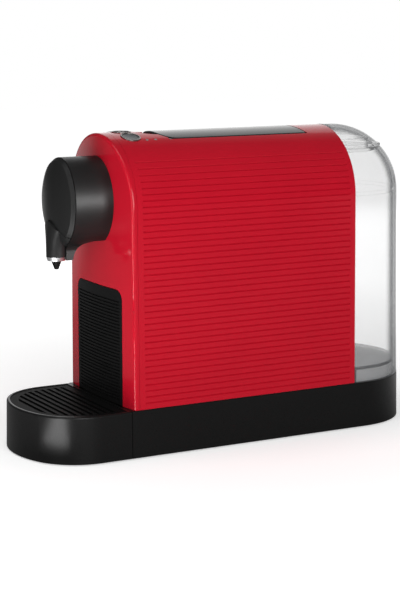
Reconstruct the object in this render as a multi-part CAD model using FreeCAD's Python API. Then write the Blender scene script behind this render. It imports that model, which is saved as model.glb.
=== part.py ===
import FreeCAD
import Part
import math
import os

# Pod coffee machine, in millimetres. +Z is up, -Y is the cup side and +Y the water tank side.
# The origin is the middle of the base, on the surface that the machine stands on.

V = FreeCAD.Vector
X_AXIS = V(1, 0, 0)
Y_AXIS = V(0, 1, 0)
Z_AXIS = V(0, 0, 1)
ORIGIN = V(0, 0, 0)

# Clearances
GAP = 0.3            # between pieces that move past each other
FIT = 0.1            # between fixed pieces that sit in each other
RUNNING = 0.06       # radial play of a pin in its bore
PAST = 5.0           # how far a cutter reaches beyond what it cuts

# Base
BASE_LENGTH = 352.8
BASE_HALF_WIDTH = 59.4
BASE_TOP = 38.4
BASE_DRAFT = 0.7     # how much each side leans in over the base's height
NOSE_RADIUS = 81.0
NOSE_CORNER_RADIUS = 45.0
WALL = 2.6
DECK = 3.0
FLOOR_PLATE = 2.0
FOOT_HEIGHT = 1.0
FOOT_RADIUS = 7.0
FOOT_INSET = 21.4
FOOT_AHEAD = 18.0    # front feet behind the tray's seam
FOOT_BEHIND = 19.0   # rear feet behind the rear curve's centre
VENT_HALF = 14.0
VENT_WIDTH = 2.4
VENT_PITCH = 6.0
VENT_COUNT = 9

# Body
BODY_TOP = 250.0
BODY_LENGTH = 200.0
BODY_INSET = 1.0     # how far the casing's foot stands in from the base's edge
SIDE_LEAN = 2.65     # how far its sides lean in up to the crown
FACE_DEPTH = 4.1     # from the casing to where the front face meets the sides
FACE_BULGE = 4.0
FACE_ROUND = 2.4
SEAM = 0.2

# Side grooves
GROOVE_PITCH = 4.78
GROOVE_LIFT = 4.8
GROOVE_DROP = 20.0
GROOVE_MARGIN = 5.0
GROOVE_DEPTH = 0.7

# Drip tray, grid and capsule bin
SEAM_AHEAD = 7.0     # parting line between tray and base, ahead of the casing
SEAM_GAP = 0.5
RIM_ROUND = 1.6
TRAY_RIM = 2.6
TRAY_LEDGE = 3.5
TRAY_FLOOR = 3.0
GRID_THICKNESS = 3.0
GRID_SINK = 0.7      # how far the grid lies below the tray's rim
GRID_BORDER = 7.0
GRID_PITCH = 6.0
GRID_SLOT = 3.0
TAIL_HALF = 41.0
TAIL_LENGTH = 82.0
TAIL_DROP = 2.9
TAIL_WALL = 2.4
BIN_HALF = 38.5
BIN_AHEAD = 2.0
BIN_DROP = 6.0       # how far the bin's rim lies below the top of its front
BIN_WALL = 2.0
BIN_ROUND = 5.0
PANEL_HALF = 40.0
PANEL_TOP = 130.0
PANEL_ROUND = 8.0
PANEL_BEZEL = 3.5
PANEL_BEZEL_TOP = 6.0
RIB_PITCH = 2.6
RIB_GROOVE = 1.2
RIB_DEPTH = 1.0

# Brew head and spout
HEAD_HALF_WIDTH = 29.5
HEAD_HALF_HEIGHT = 35.0
HEAD_DROP = 52.6     # from the crown down to the head's middle
HEAD_LENGTH = 39.8
HEAD_SUNK = 1.0
HEAD_KEEL = 30.4     # from the head's middle down to its flat underside
CAP_LAND = 3.0       # depth of the cap's edge ahead of the barrel
CAP_INSET = 2.1      # how far that edge draws in
CAP_DEPTH = 10.9
CAP_GROOVE = 0.6
SPOUT_AHEAD = 4.2
SPOUT_RADIUS = 8.0
SPOUT_DROP = 12.1    # from the head's underside down to the spout's ring
SPOUT_SECTIONS = [   # share of the height, extra half-width, drawn-in depth
    (0.0, 0.1, 0.0), (0.25, 0.3, 0.0), (0.5, 1.4, 0.05), (0.75, 4.0, 0.3), (1.0, 8.0, 1.1),
]
NECK_HALF = 7.5
NECK_DEPTH = 6.8
NECK_SET_BACK = 1.0  # front of the neck behind the barrel's front
NECK_BELOW = 2.6     # how far the neck reaches below the spout's ring
NECK_BEND = 16.0
NECK_FILLET = 6.0
BELL_RISE = 16.5     # top of the bell seam above the head's underside
BELL_FOOT_RISE = 3.0  # its foot above that underside
BELL_SEAM = 0.6      # width of the seam
BELL_HALF = 21.0
RING_HEIGHT = 3.0
RING_TAPER = 0.9
NOZZLE_RADIUS = 4.2
NOZZLE_TIP_RADIUS = 1.6
NOZZLE_DROP = 10.0
NOZZLE_RIBS = 8
OUTLET_RADIUS = 3.2
OUTLET_BORE = 2.0
OUTLET_BEND = 6.5
OUTLET_RISE = 19.0   # outlet pipe above the head's underside

# Lever and its mechanism
LEVER_HALF = 22.8
LEVER_AHEAD = 2.0    # front lip of the lever ahead of the brew plate
LEVER_THICKNESS = 3.0
LEVER_CORNER = 15.0
LEVER_ROUND = 1.6    # rounding of the lever's top edge
LEVER_SLOT_GAP = 0.5
LEVER_LIP = 6.0
LEVER_MARGIN = 31.5  # from the lever's rear end to the casing's rear
LEVER_OPENING = 75.0
HINGE_DROP = 14.0    # depth of the hinge below the crown
HINGE_PIN = 2.0
SCOOP_RADIUS = 28.0
SCOOP_DEPTH = 5.5
CHEEK_INNER = 13.0
CHEEK_THICKNESS = 3.0
CHEEK_MARGIN = 6.5
CAM_STEPS = 8        # spans of the curve that the cam slot follows
PISTON_STROKE = 34.0
FOLLOWER_BEHIND = 74.0
FOLLOWER_RISE = 29.0
FOLLOWER_PIN = 2.5
BREW_BEHIND = 41.0   # brew plate's rear face behind the casing's front
BREW_PLATE = 6.0
CHAMBER_RADIUS = 22.0
CHAMBER_BORE = 19.0
CHAMBER_DEPTH = 30.0
CHAMBER_LENGTH = 44.0
YOKE_HALF = 10.0
FRAME_INNER = 23.0
FRAME_SHEET = 3.0
FRAME_LENGTH = 120.0
RAIL_HALF = 4.0
FEED_RADIUS = 3.0
FEED_BORE = 1.5
FEED_BEND = 8.0
CHUTE_HALF = 19.5
CHUTE_WALL = 1.4
CHUTE_LENGTH = 36.5
CHUTE_RISE = 24.0
CHUTE_DROP = 12.0

# Buttons and lights
BUTTON_PITCH = 17.04
BUTTON_BEHIND = 14.0
BUTTON_RADIUS = 6.4
BUTTON_DEPTH = 7.0
BUTTON_FLANGE = 0.8
BUTTON_TRAVEL = 1.5
BUTTON_DISH = 0.5    # depth of the finger dish
BUTTON_RING = 1.4
BUTTON_RING_DEPTH = 4.0
BUTTON_RING_PROUD = 0.6
BUTTON_RING_EDGE = 0.4
LIGHT_SIDE = 23.0
LIGHT_RADIUS = 1.2
LIGHT_BEHIND = 25.5
LIGHT_PITCH = 7.5
LIGHT_DEPTH = 5.0
BOARD_DROP = 16.0
BOARD_SHEET = 1.6
BOARD_HALF = 25.0
BOARD_LENGTH = 26.0
BOSS_RADIUS = 3.0
BOSS_SIDE = 9.0

# Water tank
TANK_STRAIGHT = 11.4 # straight part of the tank ahead of its round rear
TANK_GAP = 0.6
TANK_WALL = 2.6
TANK_FLOOR = 2.6
TANK_RIB = 0.8       # ledge inside the tank where its wall turns into the dome
TANK_RIB_HEIGHT = 3.0
DOCK_HEIGHT = 10.0
DOCK_GAP = 0.6
DOCK_DISH = 4.0
DOCK_RIM = 6.0
LID_HEIGHT = 18.5
LID_GAP = 0.5
LID_PLATE = 2.0
LID_RIM = 5.0
LID_PLUG = 3.0
LID_PLUG_WALL = 1.6
LID_PLUG_GAP = 1.8
LID_EDGE = 2.0
LID_LIP = 1.2        # finger lip at the rear of the lid
LID_LIP_ANGLE = 70.0
LID_PIN = 1.2
LID_KNUCKLE = 2.6
LID_EAR_INNER = 5.5
LID_EAR_WIDTH = 2.6
VALVE_BEHIND = 8.0
VALVE_STEM = 3.0
VALVE_HEAD = 6.0
VALVE_HEAD_HEIGHT = 3.0
VALVE_BOSS = 9.0
SOCKET_RADIUS = 6.5
SOCKET_DEPTH = 6.0
SEAL_WALL = 1.6
SEAL_HEIGHT = 2.4

# Inner works
CHASSIS_INNER = 43.0
CHASSIS_SHEET = 2.0
CHASSIS_ROOF = 3.0
CHASSIS_GAP = 1.0
PUMP_SIDE = 31.4     # middle of the pump in from the casing's side
PUMP_Z = 68.0
PUMP_AHEAD = 26.4    # front neck of the pump behind the shroud's rear wall
PUMP_COIL = 20.0
PUMP_REAR_ROOM = 37.0
PUMP_NECK = 11.0
PUMP_NECK_LENGTH = 18.0
PUMP_PORT = 4.0
PUMP_PORT_LENGTH = 4.0
MOUNT_HALF = 12.0
MOUNT_LENGTH = 12.0
HEATER_SIDE = 30.4   # middle of the heater in from the casing's side
HEATER_HALF = 20.0
HEATER_AHEAD = 22.4
HEATER_REAR_ROOM = 23.0
HEATER_LOW = 74.0
HEATER_HEIGHT = 30.0
HEATER_ROUND = 5.0
HEATER_PORT = 4.0
LEG_SHEET = 2.0
LEG_WIDTH = 12.0
METER_AHEAD = 57.4
METER_RADIUS = 12.0
METER_HEIGHT = 12.0
HOSE_RADIUS = 3.2
HOSE_BORE = 2.0
HOSE_BEND = 10.0
HOSE_TIGHT_BEND = 5.0
CONTROL_HALF = 36.0
CONTROL_LOW = 62.0
CONTROL_HEIGHT = 60.0
CONTROL_STANDOFF = 4.0
GLAND_MARGIN = 17.0
GLAND_Z = 16.0
GLAND_RADIUS = 5.0
GLAND_BORE = 3.4
GLAND_FLANGE = 8.0
GLAND_FLANGE_THICKNESS = 1.2
GLAND_LENGTH = 14.0

# Places and sizes that follow from those above
REAR_CENTRE = BASE_LENGTH / 2 - BASE_HALF_WIDTH
NOSE_CENTRE = NOSE_RADIUS - BASE_LENGTH / 2
NOSE_CORNER_X = BASE_HALF_WIDTH - NOSE_CORNER_RADIUS
NOSE_STEP = NOSE_RADIUS - NOSE_CORNER_RADIUS
NOSE_ANGLE = math.acos(NOSE_CORNER_X / NOSE_STEP)
NOSE_CORNER_Y = NOSE_CENTRE - NOSE_STEP * math.sin(NOSE_ANGLE)
TANK_FRONT = REAR_CENTRE - TANK_STRAIGHT
BODY_REAR = TANK_FRONT - TANK_GAP
BODY_FRONT = BODY_REAR - BODY_LENGTH
BODY_BOTTOM = BASE_TOP + GAP
BODY_HALF_WIDTH = BASE_HALF_WIDTH - BODY_INSET
CROWN_RADIUS = BODY_HALF_WIDTH - SIDE_LEAN
CROWN_CENTRE = BODY_TOP - CROWN_RADIUS
FACE_EDGE = BODY_FRONT - FACE_DEPTH
FACE_FRONT = FACE_EDGE - FACE_BULGE
FACE_RADIUS = (BODY_HALF_WIDTH ** 2 + FACE_BULGE ** 2) / (2 * FACE_BULGE)
SEAM_Y = BODY_FRONT - SEAM_AHEAD
TRAY_REAR = SEAM_Y - SEAM_GAP / 2
PAN_FRONT = SEAM_Y + SEAM_GAP / 2
FOOT_SIDE = BASE_HALF_WIDTH - FOOT_INSET
GRID_SEAT = BASE_TOP - GRID_SINK - GRID_THICKNESS
TAIL_REAR = BODY_FRONT + TAIL_LENGTH
TAIL_BOTTOM = FOOT_HEIGHT + FLOOR_PLATE + GAP
TAIL_TOP = BASE_TOP - TAIL_DROP
BIN_FRONT = BODY_FRONT - BIN_AHEAD
BIN_TOP = PANEL_TOP - BIN_DROP
NICHE_REAR = TAIL_REAR + 2 * GAP
HEAD_Z = BODY_TOP - HEAD_DROP
HEAD_REAR = BODY_FRONT + HEAD_SUNK
HEAD_FRONT = HEAD_REAR - HEAD_LENGTH
HEAD_UNDERSIDE = HEAD_Z - HEAD_KEEL
CAP_TIP = HEAD_FRONT - CAP_DEPTH
SPOUT_Y = HEAD_FRONT - SPOUT_AHEAD
SPOUT_LOW = HEAD_UNDERSIDE - SPOUT_DROP
NECK_BACK = HEAD_FRONT + NECK_DEPTH
NECK_LOW = SPOUT_LOW - NECK_BELOW
BELL_TOP = HEAD_UNDERSIDE + BELL_RISE
BELL_FOOT = HEAD_UNDERSIDE + BELL_FOOT_RISE
NOZZLE_LOW = SPOUT_LOW - NOZZLE_DROP
OUTLET_Z = HEAD_UNDERSIDE + OUTLET_RISE
BREW_Z = HEAD_Z
BREW_FACE = BODY_FRONT + BREW_BEHIND
FOLLOWER_Y = BREW_FACE + FOLLOWER_BEHIND
FOLLOWER_Z = BREW_Z + FOLLOWER_RISE
HALF_OPENING = math.radians(LEVER_OPENING) / 2
LEVER_FRONT = BREW_FACE - LEVER_AHEAD
LEVER_SLOT_FRONT = LEVER_FRONT + LEVER_LIP
LEVER_SLOT_HALF = LEVER_HALF + LEVER_SLOT_GAP
HINGE_Y = BODY_REAR - LEVER_MARGIN - HINGE_DROP * math.tan(HALF_OPENING)
HINGE_Z = BODY_TOP - HINGE_DROP
HINGE_SWEEP = HINGE_DROP / math.cos(HALF_OPENING)
LIP_RECESS = LEVER_THICKNESS + LEVER_SLOT_GAP
CHEEK_OUTER = CHEEK_INNER + CHEEK_THICKNESS
CAM_HALF = FOLLOWER_PIN + GAP
CAM_REACH = CAM_HALF + CHEEK_MARGIN
FRAME_LOW = PANEL_TOP + CHASSIS_ROOF + CHASSIS_GAP
FRAME_OUTER = FRAME_INNER + FRAME_SHEET
FRAME_FRONT = BREW_FACE - BREW_PLATE
FRAME_REAR = FRAME_FRONT + FRAME_LENGTH
CHUTE_REAR = BREW_FACE + CHUTE_LENGTH
CHUTE_LOW = BREW_Z + CHUTE_RISE
CHUTE_HIGH = BODY_TOP - CHUTE_DROP
BUTTON_ANGLE = math.degrees(math.asin(BUTTON_PITCH / CROWN_RADIUS))
BUTTON_Y = BODY_FRONT + BUTTON_BEHIND
LIGHT_ANGLE = math.degrees(math.asin(LIGHT_SIDE / CROWN_RADIUS))
LIGHT_FRONT = BODY_FRONT + LIGHT_BEHIND
BOARD_Z = BODY_TOP - BOARD_DROP
DOCK_TOP = BASE_TOP + DOCK_HEIGHT
TANK_UNDERSIDE = DOCK_TOP + GAP
TANK_BED = TANK_UNDERSIDE + TANK_FLOOR
LID_SEAM = BODY_TOP - LID_HEIGHT
LID_AXIS_Y = TANK_FRONT + LID_KNUCKLE
LID_AXIS_Z = BODY_TOP - LID_KNUCKLE
VALVE_Y = REAR_CENTRE + VALVE_BEHIND
CHASSIS_TOP = FRAME_LOW
CHASSIS_REAR = NICHE_REAR + CHASSIS_SHEET
PUMP_X = PUMP_SIDE - BODY_HALF_WIDTH
PUMP_FRONT = CHASSIS_REAR + PUMP_AHEAD
PUMP_COIL_LENGTH = BODY_REAR - PUMP_REAR_ROOM - PUMP_FRONT - PUMP_NECK_LENGTH
HEATER_X = BODY_HALF_WIDTH - HEATER_SIDE
HEATER_FRONT = CHASSIS_REAR + HEATER_AHEAD
HEATER_LENGTH = BODY_REAR - HEATER_REAR_ROOM - HEATER_FRONT
METER_X = HEATER_X
METER_Y = CHASSIS_REAR + METER_AHEAD
HOSE_DROP = BASE_TOP - DECK - HOSE_BEND - PAST
GLAND_Y = BODY_REAR - GLAND_MARGIN


# Basic forms

def box(x0, x1, y0, y1, z0, z1):
    """Block between two opposite corners."""
    return Part.makeBox(x1 - x0, y1 - y0, z1 - z0, V(x0, y0, z0))


def slab(half, y0, y1, z0, z1):
    """Block centred on the machine's middle plane."""
    return box(-half, half, y0, y1, z0, z1)


def rod(radius, start, end):
    """Round bar from one point to another."""
    run = end - start
    return Part.makeCylinder(radius, run.Length, start, run)


def line(a, b):
    return Part.LineSegment(a, b).toShape()


def arc(a, middle, b):
    return Part.Arc(a, middle, b).toShape()


def face(edges):
    return Part.Face(Part.Wire(edges))


def polygon(points):
    return Part.Face(Part.makePolygon(points + points[:1]))


def join(first, *others):
    return first.fuse(list(others)).removeSplitter()


def edges_along(shape, axis):
    """Straight edges of a shape that run along an axis."""
    return [edge for edge in shape.Edges if abs(edge.tangentAt(edge.FirstParameter).dot(axis)) > 0.999]


def bent_path(points, bend):
    """Straight runs joined by arcs of one radius."""
    edges = []
    start = points[0]
    for before, corner, after in zip(points, points[1:], points[2:]):
        back = (before - corner).normalize()
        ahead = (after - corner).normalize()
        half_turn = (math.pi - back.getAngle(ahead)) / 2
        inward = (back + ahead).normalize()
        enter = corner + back * (bend * math.tan(half_turn))
        leave = corner + ahead * (bend * math.tan(half_turn))
        middle = corner + inward * (bend / math.cos(half_turn) - bend)
        edges += [line(start, enter), arc(enter, middle, leave)]
        start = leave
    return Part.Wire(edges + [line(start, points[-1])])


def sweep(points, radius, bend):
    """Round bar along a bent path."""
    ring = Part.Wire(Part.makeCircle(radius, points[0], points[1] - points[0]))
    return bent_path(points, bend).makePipeShell([ring], True, False)


def pipe(points, radius, bore, bend):
    """Bent tube of one outer radius and one bore."""
    return sweep(points, radius, bend).cut(sweep(points, bore, bend))


# Outlines that several pieces share

def lean(z):
    """How far the base's sides have leaned in at a height."""
    return BASE_DRAFT * (z - FOOT_HEIGHT) / (BASE_TOP - FOOT_HEIGHT)


def base_outline(inset, z):
    """Plan of the base: half circle at the rear, straight sides and a blunt nose."""
    half = BASE_HALF_WIDTH - inset
    corner = NOSE_CORNER_RADIUS - inset
    nose = NOSE_RADIUS - inset
    join_x = nose * math.cos(NOSE_ANGLE)
    join_y = NOSE_CENTRE - nose * math.sin(NOSE_ANGLE)
    mid_x = NOSE_CORNER_X + corner * math.cos(NOSE_ANGLE / 2)
    mid_y = NOSE_CORNER_Y - corner * math.sin(NOSE_ANGLE / 2)
    return Part.Wire([
        line(V(half, REAR_CENTRE, z), V(half, NOSE_CORNER_Y, z)),
        arc(V(half, NOSE_CORNER_Y, z), V(mid_x, mid_y, z), V(join_x, join_y, z)),
        arc(V(join_x, join_y, z), V(0, NOSE_CENTRE - nose, z), V(-join_x, join_y, z)),
        arc(V(-join_x, join_y, z), V(-mid_x, mid_y, z), V(-half, NOSE_CORNER_Y, z)),
        line(V(-half, NOSE_CORNER_Y, z), V(-half, REAR_CENTRE, z)),
        arc(V(-half, REAR_CENTRE, z), V(0, REAR_CENTRE + half, z), V(half, REAR_CENTRE, z)),
    ])


def base_form(inset, z0, z1):
    """The base's drafted block between two heights, drawn in by an inset."""
    low = base_outline(inset + lean(z0), z0)
    high = base_outline(inset + lean(z1), z1)
    return Part.makeLoft([low, high], True, True)


def behind(y):
    """Everything behind a plane across the machine."""
    return slab(BASE_LENGTH, y, BASE_LENGTH, -BASE_LENGTH, BASE_LENGTH)


def ahead_of(y):
    """Everything in front of a plane across the machine."""
    return slab(BASE_LENGTH, -BASE_LENGTH, y, -BASE_LENGTH, BASE_LENGTH)


def above(z):
    return slab(BASE_LENGTH, -BASE_LENGTH, BASE_LENGTH, z, z + BASE_LENGTH)


def below(z):
    return slab(BASE_LENGTH, -BASE_LENGTH, BASE_LENGTH, z - BASE_LENGTH, z)


def arch_sides(inset):
    """Half-width at the foot, crown radius and angle where the side runs into the crown."""
    half = BODY_HALF_WIDTH - inset
    crown = CROWN_RADIUS - inset
    drop = BODY_BOTTOM - CROWN_CENTRE
    angle = math.atan2(drop, half) + math.acos(crown / math.hypot(half, drop))
    return half, crown, angle


def arch_prism(inset, y0, y1):
    """The body's arched section, drawn in by an inset and run along the machine."""
    half, crown, angle = arch_sides(inset)
    foot = V(half, y0, BODY_BOTTOM)
    spring = V(crown * math.cos(angle), y0, CROWN_CENTRE + crown * math.sin(angle))
    far_spring = V(-spring.x, y0, spring.z)
    far_foot = V(-half, y0, BODY_BOTTOM)
    section = face([
        line(foot, spring),
        arc(spring, V(0, y0, CROWN_CENTRE + crown), far_spring),
        line(far_spring, far_foot),
        line(far_foot, foot),
    ])
    return section.extrude(V(0, y1 - y0, 0))


def arch_turn(inset):
    """The same section turned half way round the tank's upright axis."""
    half, crown, angle = arch_sides(inset)
    mid = (angle + math.pi / 2) / 2
    spring = V(crown * math.cos(angle), REAR_CENTRE, CROWN_CENTRE + crown * math.sin(angle))
    shoulder = V(crown * math.cos(mid), REAR_CENTRE, CROWN_CENTRE + crown * math.sin(mid))
    peak = V(0, REAR_CENTRE, CROWN_CENTRE + crown)
    foot = V(half, REAR_CENTRE, BODY_BOTTOM)
    heart = V(0, REAR_CENTRE, BODY_BOTTOM)
    section = face([line(heart, foot), line(foot, spring), arc(spring, shoulder, peak), line(peak, heart)])
    return section.revolve(V(0, REAR_CENTRE, 0), Z_AXIS, 180)


def tank_form(inset):
    """Outer shape of tank and lid together, drawn in by an inset."""
    return join(arch_prism(inset, TANK_FRONT + inset, REAR_CENTRE), arch_turn(inset))


def dome_plan(half, front, z0, z1):
    """Upright block with straight sides, a flat front and a half-round rear."""
    plan = face([
        line(V(half, front, z0), V(half, REAR_CENTRE, z0)),
        arc(V(half, REAR_CENTRE, z0), V(0, REAR_CENTRE + half, z0), V(-half, REAR_CENTRE, z0)),
        line(V(-half, REAR_CENTRE, z0), V(-half, front, z0)),
        line(V(-half, front, z0), V(half, front, z0)),
    ])
    return plan.extrude(V(0, 0, z1 - z0))


def crown_normal(angle):
    """Outward direction of the crown at an angle from upright."""
    turn = math.radians(angle)
    return V(math.sin(turn), 0, math.cos(turn))


def crown_rod(radius, angle, y, deep, high):
    """Round bar square to the crown, from a depth below its surface to a height above."""
    heart = V(0, y, CROWN_CENTRE)
    normal = crown_normal(angle)
    return rod(radius, heart + normal * (CROWN_RADIUS - deep), heart + normal * (CROWN_RADIUS + high))


# Base, feet, tray, grid and capsule bin

def base_pan():
    hollow = base_form(WALL, FOOT_HEIGHT, BASE_TOP - DECK).common(behind(PAN_FRONT + WALL))
    niche = slab(TAIL_HALF + 2 * GAP, PAN_FRONT - PAST, NICHE_REAR, 0, BASE_TOP + PAST)
    dock_hole = rod(SOCKET_RADIUS, V(0, VALVE_Y, 0), V(0, VALVE_Y, BASE_TOP + PAST))
    meter_hole = rod(HOSE_RADIUS + FIT, V(METER_X, METER_Y, 0), V(METER_X, METER_Y, BASE_TOP + PAST))
    gland_face = -(BASE_HALF_WIDTH - BASE_DRAFT)
    gland_hole = rod(GLAND_RADIUS, V(gland_face - PAST, GLAND_Y, GLAND_Z), V(0, GLAND_Y, GLAND_Z))
    gland_seat = rod(GLAND_FLANGE, V(gland_face - PAST, GLAND_Y, GLAND_Z),
                     V(gland_face + GLAND_FLANGE_THICKNESS, GLAND_Y, GLAND_Z))
    pan = base_form(0, FOOT_HEIGHT, BASE_TOP).common(behind(PAN_FRONT))
    return pan.cut([hollow, niche, dock_hole, meter_hole, gland_hole, gland_seat])


def base_plate():
    """Floor of the base, with two rows of vents below the pump and the heater."""
    plate = base_form(WALL + FIT, FOOT_HEIGHT, FOOT_HEIGHT + FLOOR_PLATE)
    vents = []
    for side in (-1, 1):
        for index in range(VENT_COUNT):
            y = CHASSIS_REAR + PUMP_AHEAD + index * VENT_PITCH
            x = side * FOOT_SIDE * 2 / 3
            vents.append(box(x - VENT_HALF, x + VENT_HALF, y, y + VENT_WIDTH, 0, BASE_TOP))
    return plate.common(behind(PAN_FRONT + WALL + FIT)).cut(vents)


def rubber_feet():
    feet = []
    for y in (SEAM_Y + FOOT_AHEAD, REAR_CENTRE + FOOT_BEHIND):
        for x in (-FOOT_SIDE, FOOT_SIDE):
            feet.append(rod(FOOT_RADIUS, V(x, y, 0), V(x, y, FOOT_HEIGHT)))
    return Part.makeCompound(feet)


def cord_gland():
    outside = -(BASE_HALF_WIDTH - BASE_DRAFT)
    start = V(outside, GLAND_Y, GLAND_Z)
    flange = rod(GLAND_FLANGE - FIT, start, start + X_AXIS * GLAND_FLANGE_THICKNESS)
    sleeve = rod(GLAND_RADIUS - FIT, start, start + X_AXIS * GLAND_LENGTH)
    bore = rod(GLAND_BORE, start - X_AXIS, start + X_AXIS * (GLAND_LENGTH + PAST))
    return join(flange, sleeve).cut(bore)


def drip_tray():
    block = base_form(0, FOOT_HEIGHT, BASE_TOP)
    rim = [edge for edge in block.Edges if abs(edge.CenterOfMass.z - BASE_TOP) < FIT]
    block = block.makeFillet(RIM_ROUND, rim).common(ahead_of(TRAY_REAR))
    inside = ahead_of(TRAY_REAR - TRAY_RIM)
    seat = base_form(TRAY_RIM, GRID_SEAT, BASE_TOP + PAST).common(inside)
    basin_floor = FOOT_HEIGHT + TRAY_FLOOR
    basin = base_form(TRAY_RIM + TRAY_LEDGE, basin_floor, BASE_TOP + PAST).common(inside)
    tail = slab(TAIL_HALF, TRAY_REAR, TAIL_REAR, TAIL_BOTTOM, TAIL_TOP)
    tail_well = slab(TAIL_HALF - TAIL_WALL, TRAY_REAR + TAIL_WALL, TAIL_REAR - TAIL_WALL,
                     TAIL_BOTTOM + TAIL_WALL, TAIL_TOP + PAST)
    return join(block.cut([seat, basin]), tail.cut(tail_well))


def drip_grid():
    plate = base_form(TRAY_RIM + GAP, GRID_SEAT, GRID_SEAT + GRID_THICKNESS)
    rear = TRAY_REAR - TRAY_RIM - GAP
    plate = plate.common(ahead_of(rear))
    slots = []
    y = rear - GRID_BORDER
    front = -BASE_LENGTH / 2 + TRAY_RIM + GRID_BORDER
    while y - GRID_SLOT > front:
        slots.append(slab(BASE_HALF_WIDTH, y - GRID_SLOT, y, GRID_SEAT - PAST, BASE_TOP + PAST))
        y -= GRID_PITCH
    field = base_form(TRAY_RIM + GRID_BORDER, GRID_SEAT - PAST, BASE_TOP + PAST)
    return plate.cut(Part.makeCompound(slots).common(field))


def capsule_bin():
    block = slab(BIN_HALF, BIN_FRONT, TAIL_REAR, TAIL_TOP, BIN_TOP)
    block = block.makeFillet(BIN_ROUND, edges_along(block, Z_AXIS))
    well = slab(BIN_HALF - BIN_WALL, BIN_FRONT + BIN_WALL, TAIL_REAR - BIN_WALL,
                TAIL_TOP + BIN_WALL, BIN_TOP + PAST)
    return block.cut(well.makeFillet(BIN_ROUND - BIN_WALL, edges_along(well, Z_AXIS)))


def face_form(set_back):
    """The gently bowed front face as a tall drum, moved back from the face."""
    heart = V(0, FACE_FRONT + FACE_RADIUS + set_back, 0)
    return rod(FACE_RADIUS, heart, heart + Z_AXIS * (BODY_TOP + PAST))


def panel_block(grow, y0, y1, z0):
    """Upright plate of the bin front's outline with two rounded top corners."""
    plate = slab(PANEL_HALF + grow, y0, y1, z0, PANEL_TOP + grow)
    corners = [edge for edge in edges_along(plate, Y_AXIS) if edge.CenterOfMass.z > PANEL_TOP - FIT]
    return plate.makeFillet(PANEL_ROUND + grow, corners)


def bin_front():
    low = BASE_TOP + 2 * GAP
    plate = panel_block(0, FACE_FRONT - PAST, BIN_FRONT, low).common(face_form(0))
    grooves = []
    z = low + PANEL_BEZEL
    while z + RIB_GROOVE < PANEL_TOP - PANEL_BEZEL_TOP:
        grooves.append(slab(PANEL_HALF - PANEL_BEZEL, FACE_FRONT - PAST, BIN_FRONT, z, z + RIB_GROOVE))
        z += RIB_PITCH
    return plate.cut(Part.makeCompound(grooves).cut(face_form(RIB_DEPTH)))


# Red casing

def groove_bars():
    """One diamond bar for each side groove, half sunk in the side."""
    half, crown, angle = arch_sides(0)
    spring_z = CROWN_CENTRE + crown * math.sin(angle)
    bars = []
    z = BODY_BOTTOM + GROOVE_LIFT
    while z <= BODY_TOP - GROOVE_DROP:
        turn = angle
        x = half - (z - BODY_BOTTOM) * math.tan(angle)
        if z > spring_z:
            turn = math.asin((z - CROWN_CENTRE) / crown)
            x = crown * math.cos(turn)
        out = V(math.cos(turn), 0, math.sin(turn)) * GROOVE_DEPTH
        along = V(-math.sin(turn), 0, math.cos(turn)) * GROOVE_DEPTH
        middle = V(x, BODY_FRONT + GROOVE_MARGIN, z)
        bar = polygon([middle + out, middle + along, middle - out, middle - along])
        bar = bar.extrude(V(0, BODY_LENGTH - 2 * GROOVE_MARGIN, 0))
        bars += [bar, bar.mirror(ORIGIN, X_AXIS)]
        z += GROOVE_PITCH
    return bars


def crown_skin(top, bottom, y0, y1):
    """Part of a round tube about the crown's centre, between two depths below the crown."""
    outer = rod(CROWN_RADIUS - top, V(0, y0, CROWN_CENTRE), V(0, y1, CROWN_CENTRE))
    return outer.cut(rod(CROWN_RADIUS - bottom, V(0, y0, CROWN_CENTRE), V(0, y1, CROWN_CENTRE)))


def lever_plan(grow, rear):
    """Upright block of the lever's outline, with two rounded front corners."""
    plan = slab(LEVER_HALF + grow, LEVER_FRONT - grow, rear, HINGE_Z, BODY_TOP + PAST)
    corners = [edge for edge in edges_along(plan, Z_AXIS) if edge.CenterOfMass.y < LEVER_FRONT + FIT]
    return plan.makeFillet(LEVER_CORNER + grow, corners)


def lever_lip_seat():
    """Wall under the lever's front lip, below the recess that the lip lies in."""
    front = LEVER_FRONT - LEVER_SLOT_GAP - WALL
    skin = crown_skin(WALL / 2, LIP_RECESS + WALL, front, LEVER_SLOT_FRONT + WALL)
    return skin.common(slab(LEVER_SLOT_HALF + WALL, front, LEVER_SLOT_FRONT + WALL, HINGE_Z, BODY_TOP))


def lever_lip_recess():
    """Recess in the crown that takes the lever's front lip."""
    front = LEVER_FRONT - LEVER_SLOT_GAP
    skin = crown_skin(-PAST, LIP_RECESS, front, LEVER_SLOT_FRONT + WALL)
    return skin.common(lever_plan(LEVER_SLOT_GAP, HINGE_Y))


def lever_slot():
    """Opening that the lever closes, with a round rear edge about the lever's hinge."""
    opening = slab(LEVER_SLOT_HALF, LEVER_SLOT_FRONT, HINGE_Y, HINGE_Z, BODY_TOP + PAST)
    hinge = V(-LEVER_SLOT_HALF, HINGE_Y, HINGE_Z)
    sweep = rod(HINGE_SWEEP + LEVER_SLOT_GAP, hinge, hinge + X_AXIS * 2 * LEVER_SLOT_HALF)
    return join(opening, sweep)


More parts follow.
